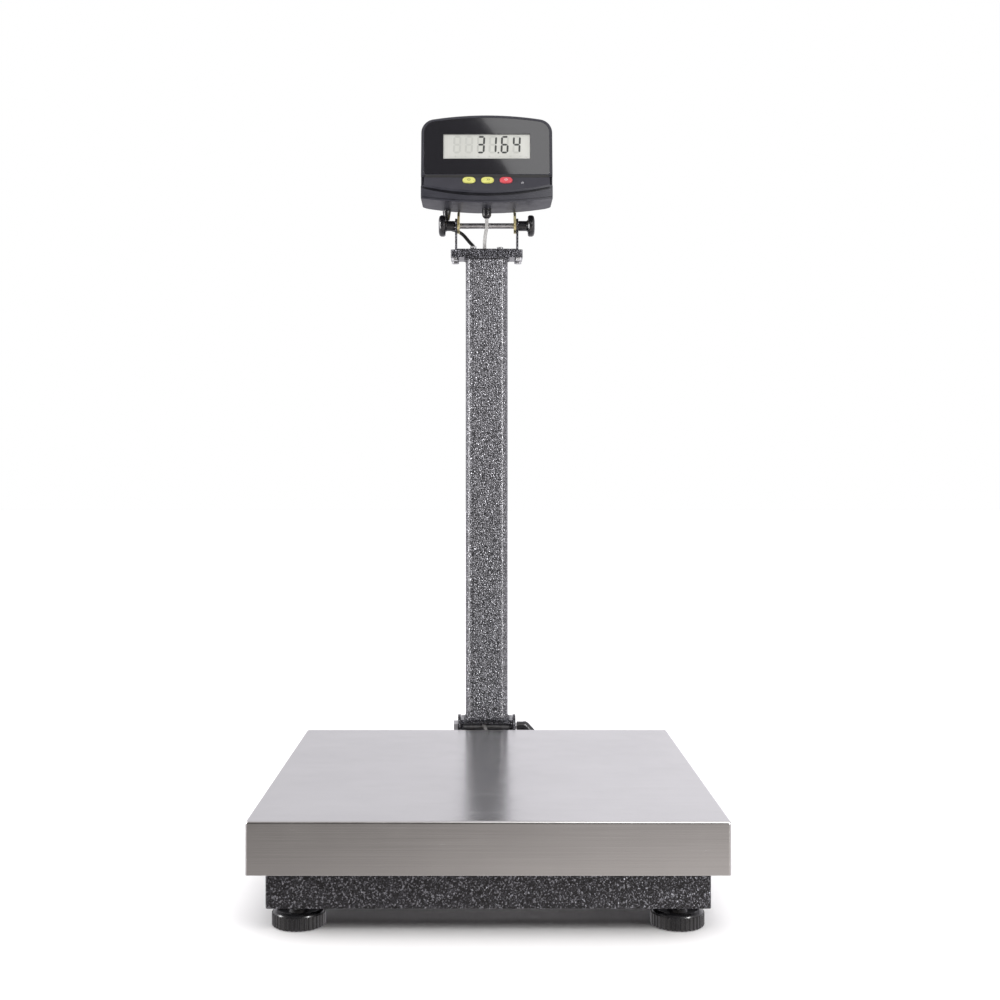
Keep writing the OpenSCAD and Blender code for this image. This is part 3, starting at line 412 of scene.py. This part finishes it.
FINISHES = {
    # hammer_paint and hammer_paint_light are one paint in two tones: a shaded copy and a lit copy, whose
    # difference is painted light and shade.
    "hammer_paint": hammertone("hammer_paint_shaded_copy_finish", (0.013, 0.013, 0.018), (0.050, 0.049, 0.060),
                               (0.27, 0.27, 0.30)),
    "hammer_paint_light": hammertone("hammer_paint_lit_copy_finish", (0.072, 0.072, 0.082), (0.185, 0.183, 0.2),
                                     (0.5, 0.5, 0.53)),
    "stainless": brushed_steel("stainless_finish"),
    "steel": cast_metal("steel_finish", (0.46, 0.46, 0.47), (0.66, 0.66, 0.67), 0.28),
    "cell_aluminium": cast_metal("cell_aluminium_finish", (0.60, 0.60, 0.61), (0.74, 0.74, 0.75), 0.34, 500),
    "yellow_zinc": chromated_zinc(),
    "black_plastic": moulded("black_plastic_finish", (0.012, 0.012, 0.014), (0.022, 0.022, 0.025), 0.26,
                             0.0006, 0.00003, Coat_Weight=0.3, Coat_Roughness=0.15),
    "rubber": moulded("rubber_finish", (0.012, 0.012, 0.012), (0.022, 0.021, 0.021), 0.72, 0.0005, 0.00006),
    "case_plastic": moulded("case_plastic_finish", (0.030, 0.030, 0.040), (0.040, 0.040, 0.052), 0.42,
                            0.00045, 0.00005, Specular_IOR_Level=0.3),
    "lens_plastic": glossy_overlay(),
    "lcd": liquid_crystal(),
    "board": circuit_board(),
    "battery_wrap": moulded("battery_wrap_finish", (0.06, 0.10, 0.22), (0.08, 0.13, 0.27), 0.34,
                            0.0015, 0.00003),
    "key_yellow": moulded("key_yellow_finish", (0.62, 0.62, 0.14), (0.70, 0.70, 0.20), 0.34, 0.0005, 0.00003),
    "key_red": moulded("key_red_finish", (0.60, 0.045, 0.065), (0.70, 0.065, 0.085), 0.38, 0.0005, 0.00003),
    "cable_grey": moulded("cable_grey_finish", (0.56, 0.555, 0.54), (0.66, 0.655, 0.64), 0.42,
                          0.0006, 0.00004),
    "cable_black": moulded("cable_black_finish", (0.014, 0.014, 0.015), (0.022, 0.022, 0.024), 0.5,
                           0.0006, 0.00004),
    "level_green": moulded("level_green_finish", (0.22, 0.46, 0.05), (0.30, 0.58, 0.08), 0.16, 0.004, 0.00002,
                           Coat_Weight=0.8, Coat_Roughness=0.03),
}
EXTRA_FINISHES = {
    "lcd_lit": moulded("lcd_lit_finish", (0.030, 0.032, 0.030), (0.045, 0.047, 0.044), 0.4, 0.0005, 0.00001),
    "lcd_ghost": moulded("lcd_ghost_finish", (0.44, 0.45, 0.415), (0.50, 0.51, 0.475), 0.4, 0.0005, 0.00001),
    "print_white": moulded("print_white_finish", (0.62, 0.62, 0.63), (0.72, 0.72, 0.73), 0.5,
                           0.0004, 0.00001),
    "print_dark": moulded("print_dark_finish", (0.05, 0.05, 0.04), (0.08, 0.08, 0.06), 0.5, 0.0004, 0.00001),
    "lamp": moulded("lamp_finish", (0.20, 0.20, 0.22), (0.28, 0.28, 0.30), 0.12, 0.002, 0.00002,
                    Coat_Weight=0.8, Coat_Roughness=0.03),
}


def give_finish(piece, finish):
    piece.data.materials.clear()
    piece.data.materials.append(finish)


# ---- CAD pieces: finish, worn edges and clean shading ----

EDGE_WIDTH = {
    "tray": 0.0004, "base_frame": 0.0012, "mast_bracket": 0.0007, "mast_foot": 0.0006,
    "mast_plate": 0.0005, "head_plate": 0.0005, "head_bracket": 0.0005, "head_yoke": 0.0004,
    "front_shell": 0.0009, "rear_shell": 0.0009, "display_lens": 0.00025, "battery": 0.002,
    "load_cell": 0.0006, "clamp_lever": 0.0004,
}
DEFAULT_EDGE = 0.0003
FLAT_ANGLE = radians(0.4)
EDGE_ANGLE = radians(32)


def soften(name):
    """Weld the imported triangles, round the sharp edges a little and shade flat faces flat."""
    node = nodes[name]
    weld = node.modifiers.new("weld", "WELD")
    weld.merge_threshold = 0.000002
    flat = node.modifiers.new("flat", "DECIMATE")
    flat.decimate_type = "DISSOLVE"
    flat.angle_limit = FLAT_ANGLE
    edge = node.modifiers.new("edge", "BEVEL")
    edge.limit_method = "ANGLE"
    edge.angle_limit = EDGE_ANGLE
    edge.width = EDGE_WIDTH.get(name, DEFAULT_EDGE)
    edge.segments = 3 if edge.width > 0.0005 else 2
    edge.miter_outer = "MITER_ARC"
    shading = node.modifiers.new("shading", "WEIGHTED_NORMAL")
    shading.keep_sharp = False


for name, node in nodes.items():
    slot_name = node.material_slots[0].material.name
    give_finish(node, FINISHES[slot_name])
    soften(name)


# ---- Mesh tools ----


def new_piece(name, build, body, slot, finish=None, replaces=(), smooth_angle=35):
    """A piece from a bmesh, riding on a body, with the finish of its slot unless another is given."""
    mesh = bpy.data.meshes.new(name)
    bmesh.ops.recalc_face_normals(build, faces=build.faces)
    build.to_mesh(mesh)
    build.free()
    mesh.shade_smooth()
    mesh.set_sharp_from_angle(angle=radians(smooth_angle))
    piece = bpy.data.objects.new(name, mesh)
    scene.collection.objects.link(piece)
    give_finish(piece, finish or FINISHES[slot])
    if replaces:
        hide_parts(*replaces)
    if body:
        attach(piece, body)
    return piece


def ring_grid(build, rings, closed_ends=True, closed_loop=False):
    """Faces between rings of points, each ring a closed line of the same number of points."""
    rows = [[build.verts.new(point) for point in ring] for ring in rings]
    count = len(rows[0])
    pairs = list(zip(rows, rows[1:]))
    if closed_loop:
        pairs.append((rows[-1], rows[0]))
    for low, high in pairs:
        for i in range(count):
            j = (i + 1) % count
            build.faces.new((low[i], low[j], high[j], high[i]))
    if closed_ends and not closed_loop:
        build.faces.new(list(reversed(rows[0])))
        build.faces.new(rows[-1])


def lathe(build, profile, place, segments=40):
    """Turned shape: profile is (radius, height) from its foot to its head, round the place's Z axis."""
    rings = []
    for radius, height in profile:
        rings.append([place @ Vector((radius * cos(2 * pi * i / segments),
                                      radius * sin(2 * pi * i / segments), height)) for i in range(segments)])
    ring_grid(build, rings)


def rounded_box(build, low, high, radius, place=Matrix.Identity(4)):
    """Box between two corners with rounded edges."""
    low, high = Vector(low), Vector(high)
    box = bmesh.new()
    bmesh.ops.create_cube(box, size=1)
    middle = (low + high) / 2
    size = high - low
    for vertex in box.verts:
        vertex.co = Vector(vertex.co[i] * size[i] + middle[i] for i in range(3))
    bmesh.ops.bevel(box, geom=box.edges[:], offset=radius, segments=2, profile=0.5, affect="EDGES")
    mesh = bpy.data.meshes.new("box")
    box.transform(place)
    box.to_mesh(mesh)
    box.free()
    build.from_mesh(mesh)
    bpy.data.meshes.remove(mesh)


def prism(build, outline, low, high, place):
    """Flat shape with the outline's points, from low to high along the place's Z axis."""
    ring_grid(build, [[place @ Vector((x, y, height)) for x, y in outline] for height in (low, high)])


def smooth_route(points, steps):
    """Catmull-Rom curve through the points, with a number of steps for each span."""
    points = [Vector(point) for point in points]
    route = []
    last = len(points) - 1
    for i in range(last):
        a, b, c, d = points[max(i - 1, 0)], points[i], points[i + 1], points[min(i + 2, last)]
        for k in range(steps):
            t = k / steps
            route.append(0.5 * (2 * b + (c - a) * t + (2 * a - 5 * b + 4 * c - d) * t * t
                                + (3 * b - a - 3 * c + d) * t * t * t))
    route.append(points[-1])
    return route


def sweep(build, route, radius_at, closed_loop=False, sides=14):
    """Tube along a route; radius_at gives the radius at each step."""
    count = len(route)
    normal = None
    rings = []
    for i, point in enumerate(route):
        before = route[i - 1] if i or closed_loop else route[0]
        after = route[(i + 1) % count] if i + 1 < count or closed_loop else route[-1]
        heading = (after - before).normalized()
        if normal is None:
            normal = heading.orthogonal().normalized()
        normal = (normal - heading * normal.dot(heading)).normalized()
        side = heading.cross(normal)
        radius = radius_at(i)
        rings.append([point + radius * (cos(2 * pi * k / sides) * normal + sin(2 * pi * k / sides) * side)
                      for k in range(sides)])
    ring_grid(build, rings, closed_loop=closed_loop)


def rounded_rectangle(width, depth, radius, steps=8):
    """Points of a rounded rectangle round the origin."""
    points = []
    for sign_x, sign_y, start in ((1, 1, 0), (-1, 1, 90), (-1, -1, 180), (1, -1, 270)):
        for k in range(steps + 1):
            angle = radians(start + 90 * k / steps)
            points.append((sign_x * (width / 2 - radius) + radius * cos(angle),
                           sign_y * (depth / 2 - radius) + radius * sin(angle)))
    return points


def stadium(width, height, steps=14):
    return rounded_rectangle(width, height, height / 2 - 0.00001, steps)


# ---- Indicator: display, keys, lamp, and a black strip painting the shade in the slot ----

BEZEL_LEAN = radians(10)
STRIP_SLOPE = radians(50)
FACE_OUT = -0.038
BEZEL_RISE = 0.064
STRIP_RISE = 0.0617
LENS_THICK = 0.0015

on_bezel = (Matrix.Translation(tilt_axis + Vector((0, FACE_OUT, BEZEL_RISE)))
            @ Matrix.Rotation(pi / 2 - BEZEL_LEAN, 4, "X"))
on_strip = (Matrix.Translation(tilt_axis + Vector((0, FACE_OUT, STRIP_RISE)))
            @ Matrix.Rotation(STRIP_SLOPE, 4, "X"))

READING = "  3164"
DIGIT_WIDTH = 0.0112
DIGIT_HEIGHT = 0.0262
DIGIT_PITCH = 0.0168
DIGIT_FOOT = 0.0336
FIRST_DIGIT = -0.0480
STROKE = 0.0028
STROKE_GAP = 0.00035
SLANT = 0.045
PRINT_THICK = 0.00006
SEGMENTS = {
    "a": ((0, 2), (1, 2)), "b": ((1, 1), (1, 2)), "c": ((1, 0), (1, 1)), "d": ((0, 0), (1, 0)),
    "e": ((0, 0), (0, 1)), "f": ((0, 1), (0, 2)), "g": ((0, 1), (1, 1)),
}
LIT_SEGMENTS = {
    " ": "", "0": "abcdef", "1": "bc", "2": "abdeg", "3": "abcdg", "4": "bcfg", "5": "acdfg",
    "6": "acdefg", "7": "abc", "8": "abcdefg", "9": "abcdfg",
}


def segment_outline(name, left):
    """One bar of a digit, with pointed ends, slanted a little."""
    corner = Vector((left + STROKE / 2, DIGIT_FOOT + STROKE / 2))
    step = Vector((DIGIT_WIDTH - STROKE, (DIGIT_HEIGHT - STROKE) / 2))
    (x0, y0), (x1, y1) = SEGMENTS[name]
    start = corner + Vector((x0 * step.x, y0 * step.y))
    end = corner + Vector((x1 * step.x, y1 * step.y))
    along = (end - start).normalized()
    across = Vector((-along.y, along.x)) * STROKE / 2
    start += along * STROKE_GAP
    end -= along * STROKE_GAP
    nose = along * STROKE / 2
    points = [start, start + nose - across, end - nose - across,
              end, end - nose + across, start + nose + across]
    return [(point.x + SLANT * (point.y - DIGIT_FOOT), point.y) for point in points]


lit = bmesh.new()
ghost = bmesh.new()
for place, digit in enumerate(READING):
    left = FIRST_DIGIT + place * DIGIT_PITCH
    for name in SEGMENTS:
        target = lit if name in LIT_SEGMENTS[digit] else ghost
        prism(target, segment_outline(name, left), -LENS_THICK, PRINT_THICK - LENS_THICK, on_bezel)
POINT_HALF = 0.0011
POINT_GAP = 0.0028
point_x = FIRST_DIGIT + 4 * DIGIT_PITCH - POINT_GAP
point_y = DIGIT_FOOT + POINT_HALF
square = ((-1, -1), (1, -1), (1, 1), (-1, 1))
prism(lit, [(point_x + x * POINT_HALF, point_y + y * POINT_HALF) for x, y in square],
      -LENS_THICK, PRINT_THICK - LENS_THICK, on_bezel)
MARK_PLACES = (-0.044, -0.030, -0.012, 0.004, 0.019, 0.033, 0.047)
MARK_HALF = 0.0014
MARK_FOOT = 0.0285
MARK_TIP = 0.0307
for x in MARK_PLACES:
    prism(ghost, [(x - MARK_HALF, MARK_FOOT), (x + MARK_HALF, MARK_FOOT), (x, MARK_TIP)],
          -LENS_THICK, PRINT_THICK - LENS_THICK, on_bezel)
new_piece("display_lit_segments", lit, "head", "lcd", EXTRA_FINISHES["lcd_lit"])
new_piece("display_idle_segments", ghost, "head", "lcd", EXTRA_FINISHES["lcd_ghost"])

KEY_WIDTH = 0.018
KEY_HEIGHT = 0.0127
KEY_FOOT = -0.0035
KEY_RISE = 0.0018
KEY_ALONG = -0.0072
KEY_STEM_FOOT = -0.0060
# Height above the strip and inset of each ring of a key, from its foot to its crown
KEY_RINGS = ((KEY_FOOT, 0.0), (0.0009, 0.0), (0.0013, 0.00025), (0.00155, 0.0007), (0.00168, 0.0014),
             (0.00176, 0.0026), (KEY_RISE, 0.0044))


def key_symbol(build, kind, place):
    """Plain raised sign on a key: a ring for zero, two chevrons for tare, a ring with a bar for power."""
    low, high = KEY_RISE - 0.00012, KEY_RISE + PRINT_THICK
    if kind == "tare":
        for shift in (-0.0014, 0.0010):
            outline = [(shift, 0.002), (shift + 0.0008, 0.002), (shift + 0.0024, 0), (shift + 0.0008, -0.002),
                       (shift, -0.002), (shift + 0.0016, 0)]
            prism(build, outline, low, high, place)
        return
    start, end = (0, 360) if kind == "zero" else (125, 415)
    steps = 28
    angles = [radians(start + (end - start) * i / steps) for i in range(steps + 1)]
    for a, b in zip(angles, angles[1:]):
        outline = [(radius * cos(angle), radius * sin(angle)) for radius, angle in
                   ((0.0022, a), (0.0022, b), (0.0015, b), (0.0015, a))]
        prism(build, outline, low, high, place)
    if kind == "power":
        prism(build, [(-0.00035, 0.0002), (0.00035, 0.0002), (0.00035, 0.0027), (-0.00035, 0.0027)],
              low, high, place)


for kind in ("zero", "tare", "power"):
    low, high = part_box("key_" + kind)
    place = on_strip @ Matrix.Translation(((low.x + high.x) / 2, KEY_ALONG, 0))
    cap = bmesh.new()
    rings = []
    for height, inset in KEY_RINGS:
        outline = stadium(KEY_WIDTH - 2 * inset, KEY_HEIGHT - 2 * inset)
        rings.append([place @ Vector((x, y, height)) for x, y in outline])
    ring_grid(cap, rings)
    lathe(cap, ((0.003, KEY_STEM_FOOT), (0.003, KEY_FOOT)), place, 24)
    tone = "key_red" if kind == "power" else "key_yellow"
    new_piece("key_cap_" + kind, cap, "key_" + kind, tone, replaces=("key_" + kind,))
    sign = bmesh.new()
    key_symbol(sign, kind, place)
    sign_finish = EXTRA_FINISHES["print_white" if kind == "power" else "print_dark"]
    new_piece("key_sign_" + kind, sign, "key_" + kind, tone, sign_finish)

LAMP_PLACE = (0.0500, -0.0125)
lamp = bmesh.new()
lamp_place = on_strip @ Matrix.Translation((*LAMP_PLACE, 0))
lathe(lamp, ((0.0021, -0.0005), (0.0021, 0.0003), (0.0017, 0.0008), (0.0009, 0.0011), (0.0002, 0.0012)),
      lamp_place, 24)
new_piece("status_lamp", lamp, "head", "lens_plastic", EXTRA_FINISHES["lamp"])

# A black strip laid in the slot under the bezel: painted shade, standing in for the shadow under the bezel's
# overhang.
SLOT_WIDTH = 0.174
slot_shade_strip = bmesh.new()
rounded_box(slot_shade_strip, (-SLOT_WIDTH / 2, 0.0002, -0.0008), (SLOT_WIDTH / 2, 0.0014, 0.0034), 0.0002,
            Matrix.Translation(tilt_axis + Vector((0, FACE_OUT, STRIP_RISE))))
new_piece("slot_shade_strip", slot_shade_strip, "head", "rubber")


# ---- Mast: welds, cables ----

MAST_CORNER = 0.012
WELD_RADIUS = 0.0019
WELD_RIPPLE = 0.0003
RIPPLE_STEPS = 3.1
WELD_STEPS = 14


def weld_bead(name, height):
    """Rippled bead round the mast's tube."""
    outline = rounded_rectangle(tube_high.x - tube_low.x + 0.0008, tube_high.y - tube_low.y + 0.0008,
                                MAST_CORNER, WELD_STEPS)
    corners = [Vector((mast_axis.x + x, mast_axis.y + y, height)) for x, y in outline]
    route = []
    for a, b in zip(corners, corners[1:] + corners[:1]):
        pieces = max(1, round((b - a).length / 0.0009))
        route += [a.lerp(b, k / pieces) for k in range(pieces)]
    bead = bmesh.new()
    sweep(bead, route, lambda i: WELD_RADIUS + WELD_RIPPLE * sin(2 * pi * i / RIPPLE_STEPS),
          closed_loop=True, sides=10)
    new_piece(name, bead, "mast", "hammer_paint", smooth_angle=60)


weld_bead("weld_lower", tube_low.z + 0.0004)
weld_bead("weld_upper", tube_high.z - 0.0004)

CABLE_RADIUS = 0.0025
# Points of each cable's middle line, in millimetres from the mast's axis and the floor
FOLD_ROUTE = ((0, -61, 45), (0, -55, 45), (0, -45, 45), (1, -28, 50), (2, -17, 66), (2, -12, 88),
              (0, -11, 108), (-5, -9, 121), (-6, -8, 127), (-6, -8, 132))
HEAD_ROUTE = ((-3, -7, 798), (-3, -7, 801), (-3, -8, 807), (-2, -9, 817), (0, -9, 830), (0, -9, 838),
              (0, -9, 842))
LEAD_ROUTE = ((-57.5, 16, 842.7), (-57.5, 16, 841), (-57.5, 16, 838), (-56, 17, 834), (-50, 18, 830),
              (-43, 18, 828), (-34, 16, 822), (-25, 11, 811), (-19, 8, 804), (-18, 7, 800), (-18, 7, 798))


def blended_cable(name, route, node, slot):
    """Round cable along the CAD node's route, which bends between two bodies."""
    points = [Vector((x / 1000 + mast_axis.x, y / 1000 + mast_axis.y, z / 1000)) for x, y, z in route]
    build = bmesh.new()
    sweep(build, smooth_route(points, 8), lambda i: CABLE_RADIUS)
    cable = new_piece(name, build, None, slot, replaces=(node,), smooth_angle=60)
    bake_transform(cable)


blended_cable("fold_cable_jacket", FOLD_ROUTE, "fold_cable", "cable_grey")
blended_cable("head_cable_jacket", HEAD_ROUTE, "head_cable", "cable_grey")
blended_cable("head_lead_jacket", LEAD_ROUTE, "head_lead", "cable_black")


# ---- Feet: threaded studs ----

THREAD_PITCH = 0.0015
THREAD_DEPTH = 0.0008
THREAD_ROWS = 6
THREAD_SIDES = 28


def thread(build, low, high, radius, middle):
    """Screw thread round an upright axis."""
    rows = round((high - low) / THREAD_PITCH * THREAD_ROWS)
    rings = []
    for row in range(rows + 1):
        height = low + (high - low) * row / rows
        ring = []
        for k in range(THREAD_SIDES):
            turn = ((height - low) / THREAD_PITCH - k / THREAD_SIDES) % 1
            depth = THREAD_DEPTH * abs(2 * turn - 1)
            angle = 2 * pi * k / THREAD_SIDES
            reach = radius - depth
            ring.append((middle.x + reach * cos(angle), middle.y + reach * sin(angle), height))
        rings.append(ring)
    ring_grid(build, rings)


for corner in ("front_left", "front_right", "rear_left", "rear_right"):
    low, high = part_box("foot_stud_" + corner)
    stud = bmesh.new()
    thread(stud, low.z, high.z, (high.x - low.x) / 2, (low + high) / 2)
    new_piece("foot_thread_" + corner, stud, "foot_" + corner, "steel", replaces=("foot_stud_" + corner,),
              smooth_angle=40)


# ---- Screws with cross recesses ----


def pan_head_screws(name, node, places, head_radius, head_height, shank_radius, length):
    """Pan-head screws pointing forwards (-Y), with a cross recess cut into each head."""
    turned = bmesh.new()
    cutter = bmesh.new()
    for place in places:
        seat = Matrix.Translation(place) @ Matrix.Rotation(-pi / 2, 4, "X")
        lathe(turned, ((shank_radius, -length), (shank_radius, 0), (head_radius, 0.0),
                       (head_radius, 0.3 * head_height), (0.93 * head_radius, 0.62 * head_height),
                       (0.7 * head_radius, 0.9 * head_height), (0.3 * head_radius, head_height)), seat, 32)
        for size in ((0.62, 0.14), (0.14, 0.62)):
            half = [value * head_radius for value in size]
            low = (-half[0], -half[1], 0.35 * head_height)
            high = (half[0], half[1], 2 * head_height)
            rounded_box(cutter, low, high, 0.0001, seat)
    screws = new_piece(name, turned, "head", "steel", replaces=(node,))
    mesh = bpy.data.meshes.new(name + "_cutter")
    cutter.to_mesh(mesh)
    cutter.free()
    tool = bpy.data.objects.new(name + "_cutter", mesh)
    scene.collection.objects.link(tool)
    cut = screws.modifiers.new("recess", "BOOLEAN")
    cut.operation = "DIFFERENCE"
    cut.solver = "EXACT"
    cut.use_self = True
    cut.object = tool
    bpy.context.view_layer.update()
    result = bpy.data.meshes.new_from_object(screws.evaluated_get(bpy.context.evaluated_depsgraph_get()))
    screws.modifiers.clear()
    screws.data = result
    bpy.data.objects.remove(tool)


CASE_BACK = 0.020
BACK_SLOPE = 0.19
SLOPE_START = 0.095
CASE_SCREW_SPOTS = ((0.080, 0.036), (0.078, 0.130))
YOKE_BACK = 0.027
YOKE_SCREW_ACROSS = 0.025
YOKE_SCREW_HEIGHTS = (0.040, 0.058)
case_seats = []
for across, height in CASE_SCREW_SPOTS:
    seat = CASE_BACK - BACK_SLOPE * max(0.0, height - SLOPE_START)
    case_seats += [tilt_axis + Vector((side * across, seat, height)) for side in (-1, 1)]
yoke_seats = []
for side in (-1, 1):
    for height in YOKE_SCREW_HEIGHTS:
        yoke_seats.append(tilt_axis + Vector((side * YOKE_SCREW_ACROSS, YOKE_BACK, height)))
pan_head_screws("case_screw_heads", "case_screws", case_seats, 0.0032, 0.0020, 0.0016, 0.026)
pan_head_screws("yoke_screw_heads", "yoke_screws", yoke_seats, 0.0036, 0.0025, 0.0020, 0.009)


# ---- Inside the indicator and under the tray: parts on the boards, battery, bubble level ----

BOARD_DEPTH = 0.0061
board_back = on_bezel @ Matrix.Translation((0, 0, -BOARD_DEPTH))
# Middle x and y, width, height and thickness of each part on the board
CHIPS = ((-0.045, 0.030, 0.014, 0.014, 0.0018), (-0.018, 0.050, 0.010, 0.007, 0.0014),
         (0.010, 0.034, 0.018, 0.010, 0.0016), (0.040, 0.052, 0.008, 0.008, 0.0022),
         (0.046, 0.026, 0.006, 0.012, 0.0030))
CHIP_ROUND = 0.0003
CHIP_SINK = 0.0001
chips = bmesh.new()
for x, y, width, height, rise in CHIPS:
    low = (x - width / 2, y - height / 2, -rise)
    high = (x + width / 2, y + height / 2, CHIP_SINK)
    rounded_box(chips, low, high, CHIP_ROUND, board_back)
new_piece("main_board_chips", chips, "head", "black_plastic")

battery_low, battery_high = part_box("battery")
battery = bmesh.new()
BATTERY_ROUND = 0.0022
TERMINALS = (-0.030, -0.018)
TERMINAL_HALF = 0.0024
BAND_SHARES = (0.35, 0.72)
BAND_HEIGHT = 0.0006
BAND_PROUD = Vector((0.00001, 0.00001, 0))
rounded_box(battery, battery_low, battery_high - Vector((0, 0, BATTERY_ROUND)), BATTERY_ROUND)
for x in TERMINALS:
    rounded_box(battery, (x - TERMINAL_HALF, battery_high.y - 0.008, battery_high.z - 0.0026),
                (x + TERMINAL_HALF, battery_high.y - 0.0075, battery_high.z), 0.0001)
for share in BAND_SHARES:
    band_z = battery_low.z + share * (battery_high.z - battery_low.z)
    low = Vector((battery_low.x, battery_low.y, band_z)) - BAND_PROUD
    high = Vector((battery_high.x, battery_high.y, band_z + BAND_HEIGHT)) + BAND_PROUD
    rounded_box(battery, low, high, 0.0001)
new_piece("battery_block", battery, "head", "battery_wrap", replaces=("battery",))

level_low, level_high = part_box("bubble_level")
level_middle = (level_low + level_high) / 2
level_foot = Matrix.Translation((level_middle.x, level_middle.y, level_low.z))
# Radius and height of each ring of the turned shapes, from the foot up
HOUSING = ((0.014, 0.0), (0.014, 0.0024), (0.0134, 0.003), (0.0102, 0.003), (0.010, 0.0034), (0.010, 0.0084),
           (0.0094, 0.009), (0.0086, 0.009), (0.0082, 0.0084), (0.0082, 0.0062))
VIAL = ((0.0083, 0.0058), (0.0083, 0.0076), (0.0072, 0.0081), (0.0045, 0.0085), (0.001, 0.0087))
BUBBLE = ((0.0021, 0.0084), (0.0020, 0.0088), (0.0012, 0.0090), (0.0002, 0.0090))
level = bmesh.new()
lathe(level, HOUSING, level_foot, 48)
new_piece("level_housing", level, "base", "level_green", FINISHES["black_plastic"],
          replaces=("bubble_level",))
vial = bmesh.new()
lathe(vial, VIAL, level_foot, 48)
new_piece("level_vial", vial, "base", "level_green")
bubble = bmesh.new()
lathe(bubble, BUBBLE, level_foot @ Matrix.Translation((0.0009, -0.0006, 0)), 28)
new_piece("level_bubble", bubble, "base", "level_green", EXTRA_FINISHES["print_white"])
RING_RADIUS = 0.0034
RING_HEIGHT = 0.0085
RING_WIRE = 0.00022
RING_STEPS = 40
ring = bmesh.new()
ring_route = []
for i in range(RING_STEPS):
    angle = 2 * pi * i / RING_STEPS
    ring_route.append(level_foot @ Vector((RING_RADIUS * cos(angle), RING_RADIUS * sin(angle), RING_HEIGHT)))
sweep(ring, ring_route, lambda i: RING_WIRE, closed_loop=True, sides=8)
new_piece("level_ring", ring, "base", "level_green", FINISHES["black_plastic"])
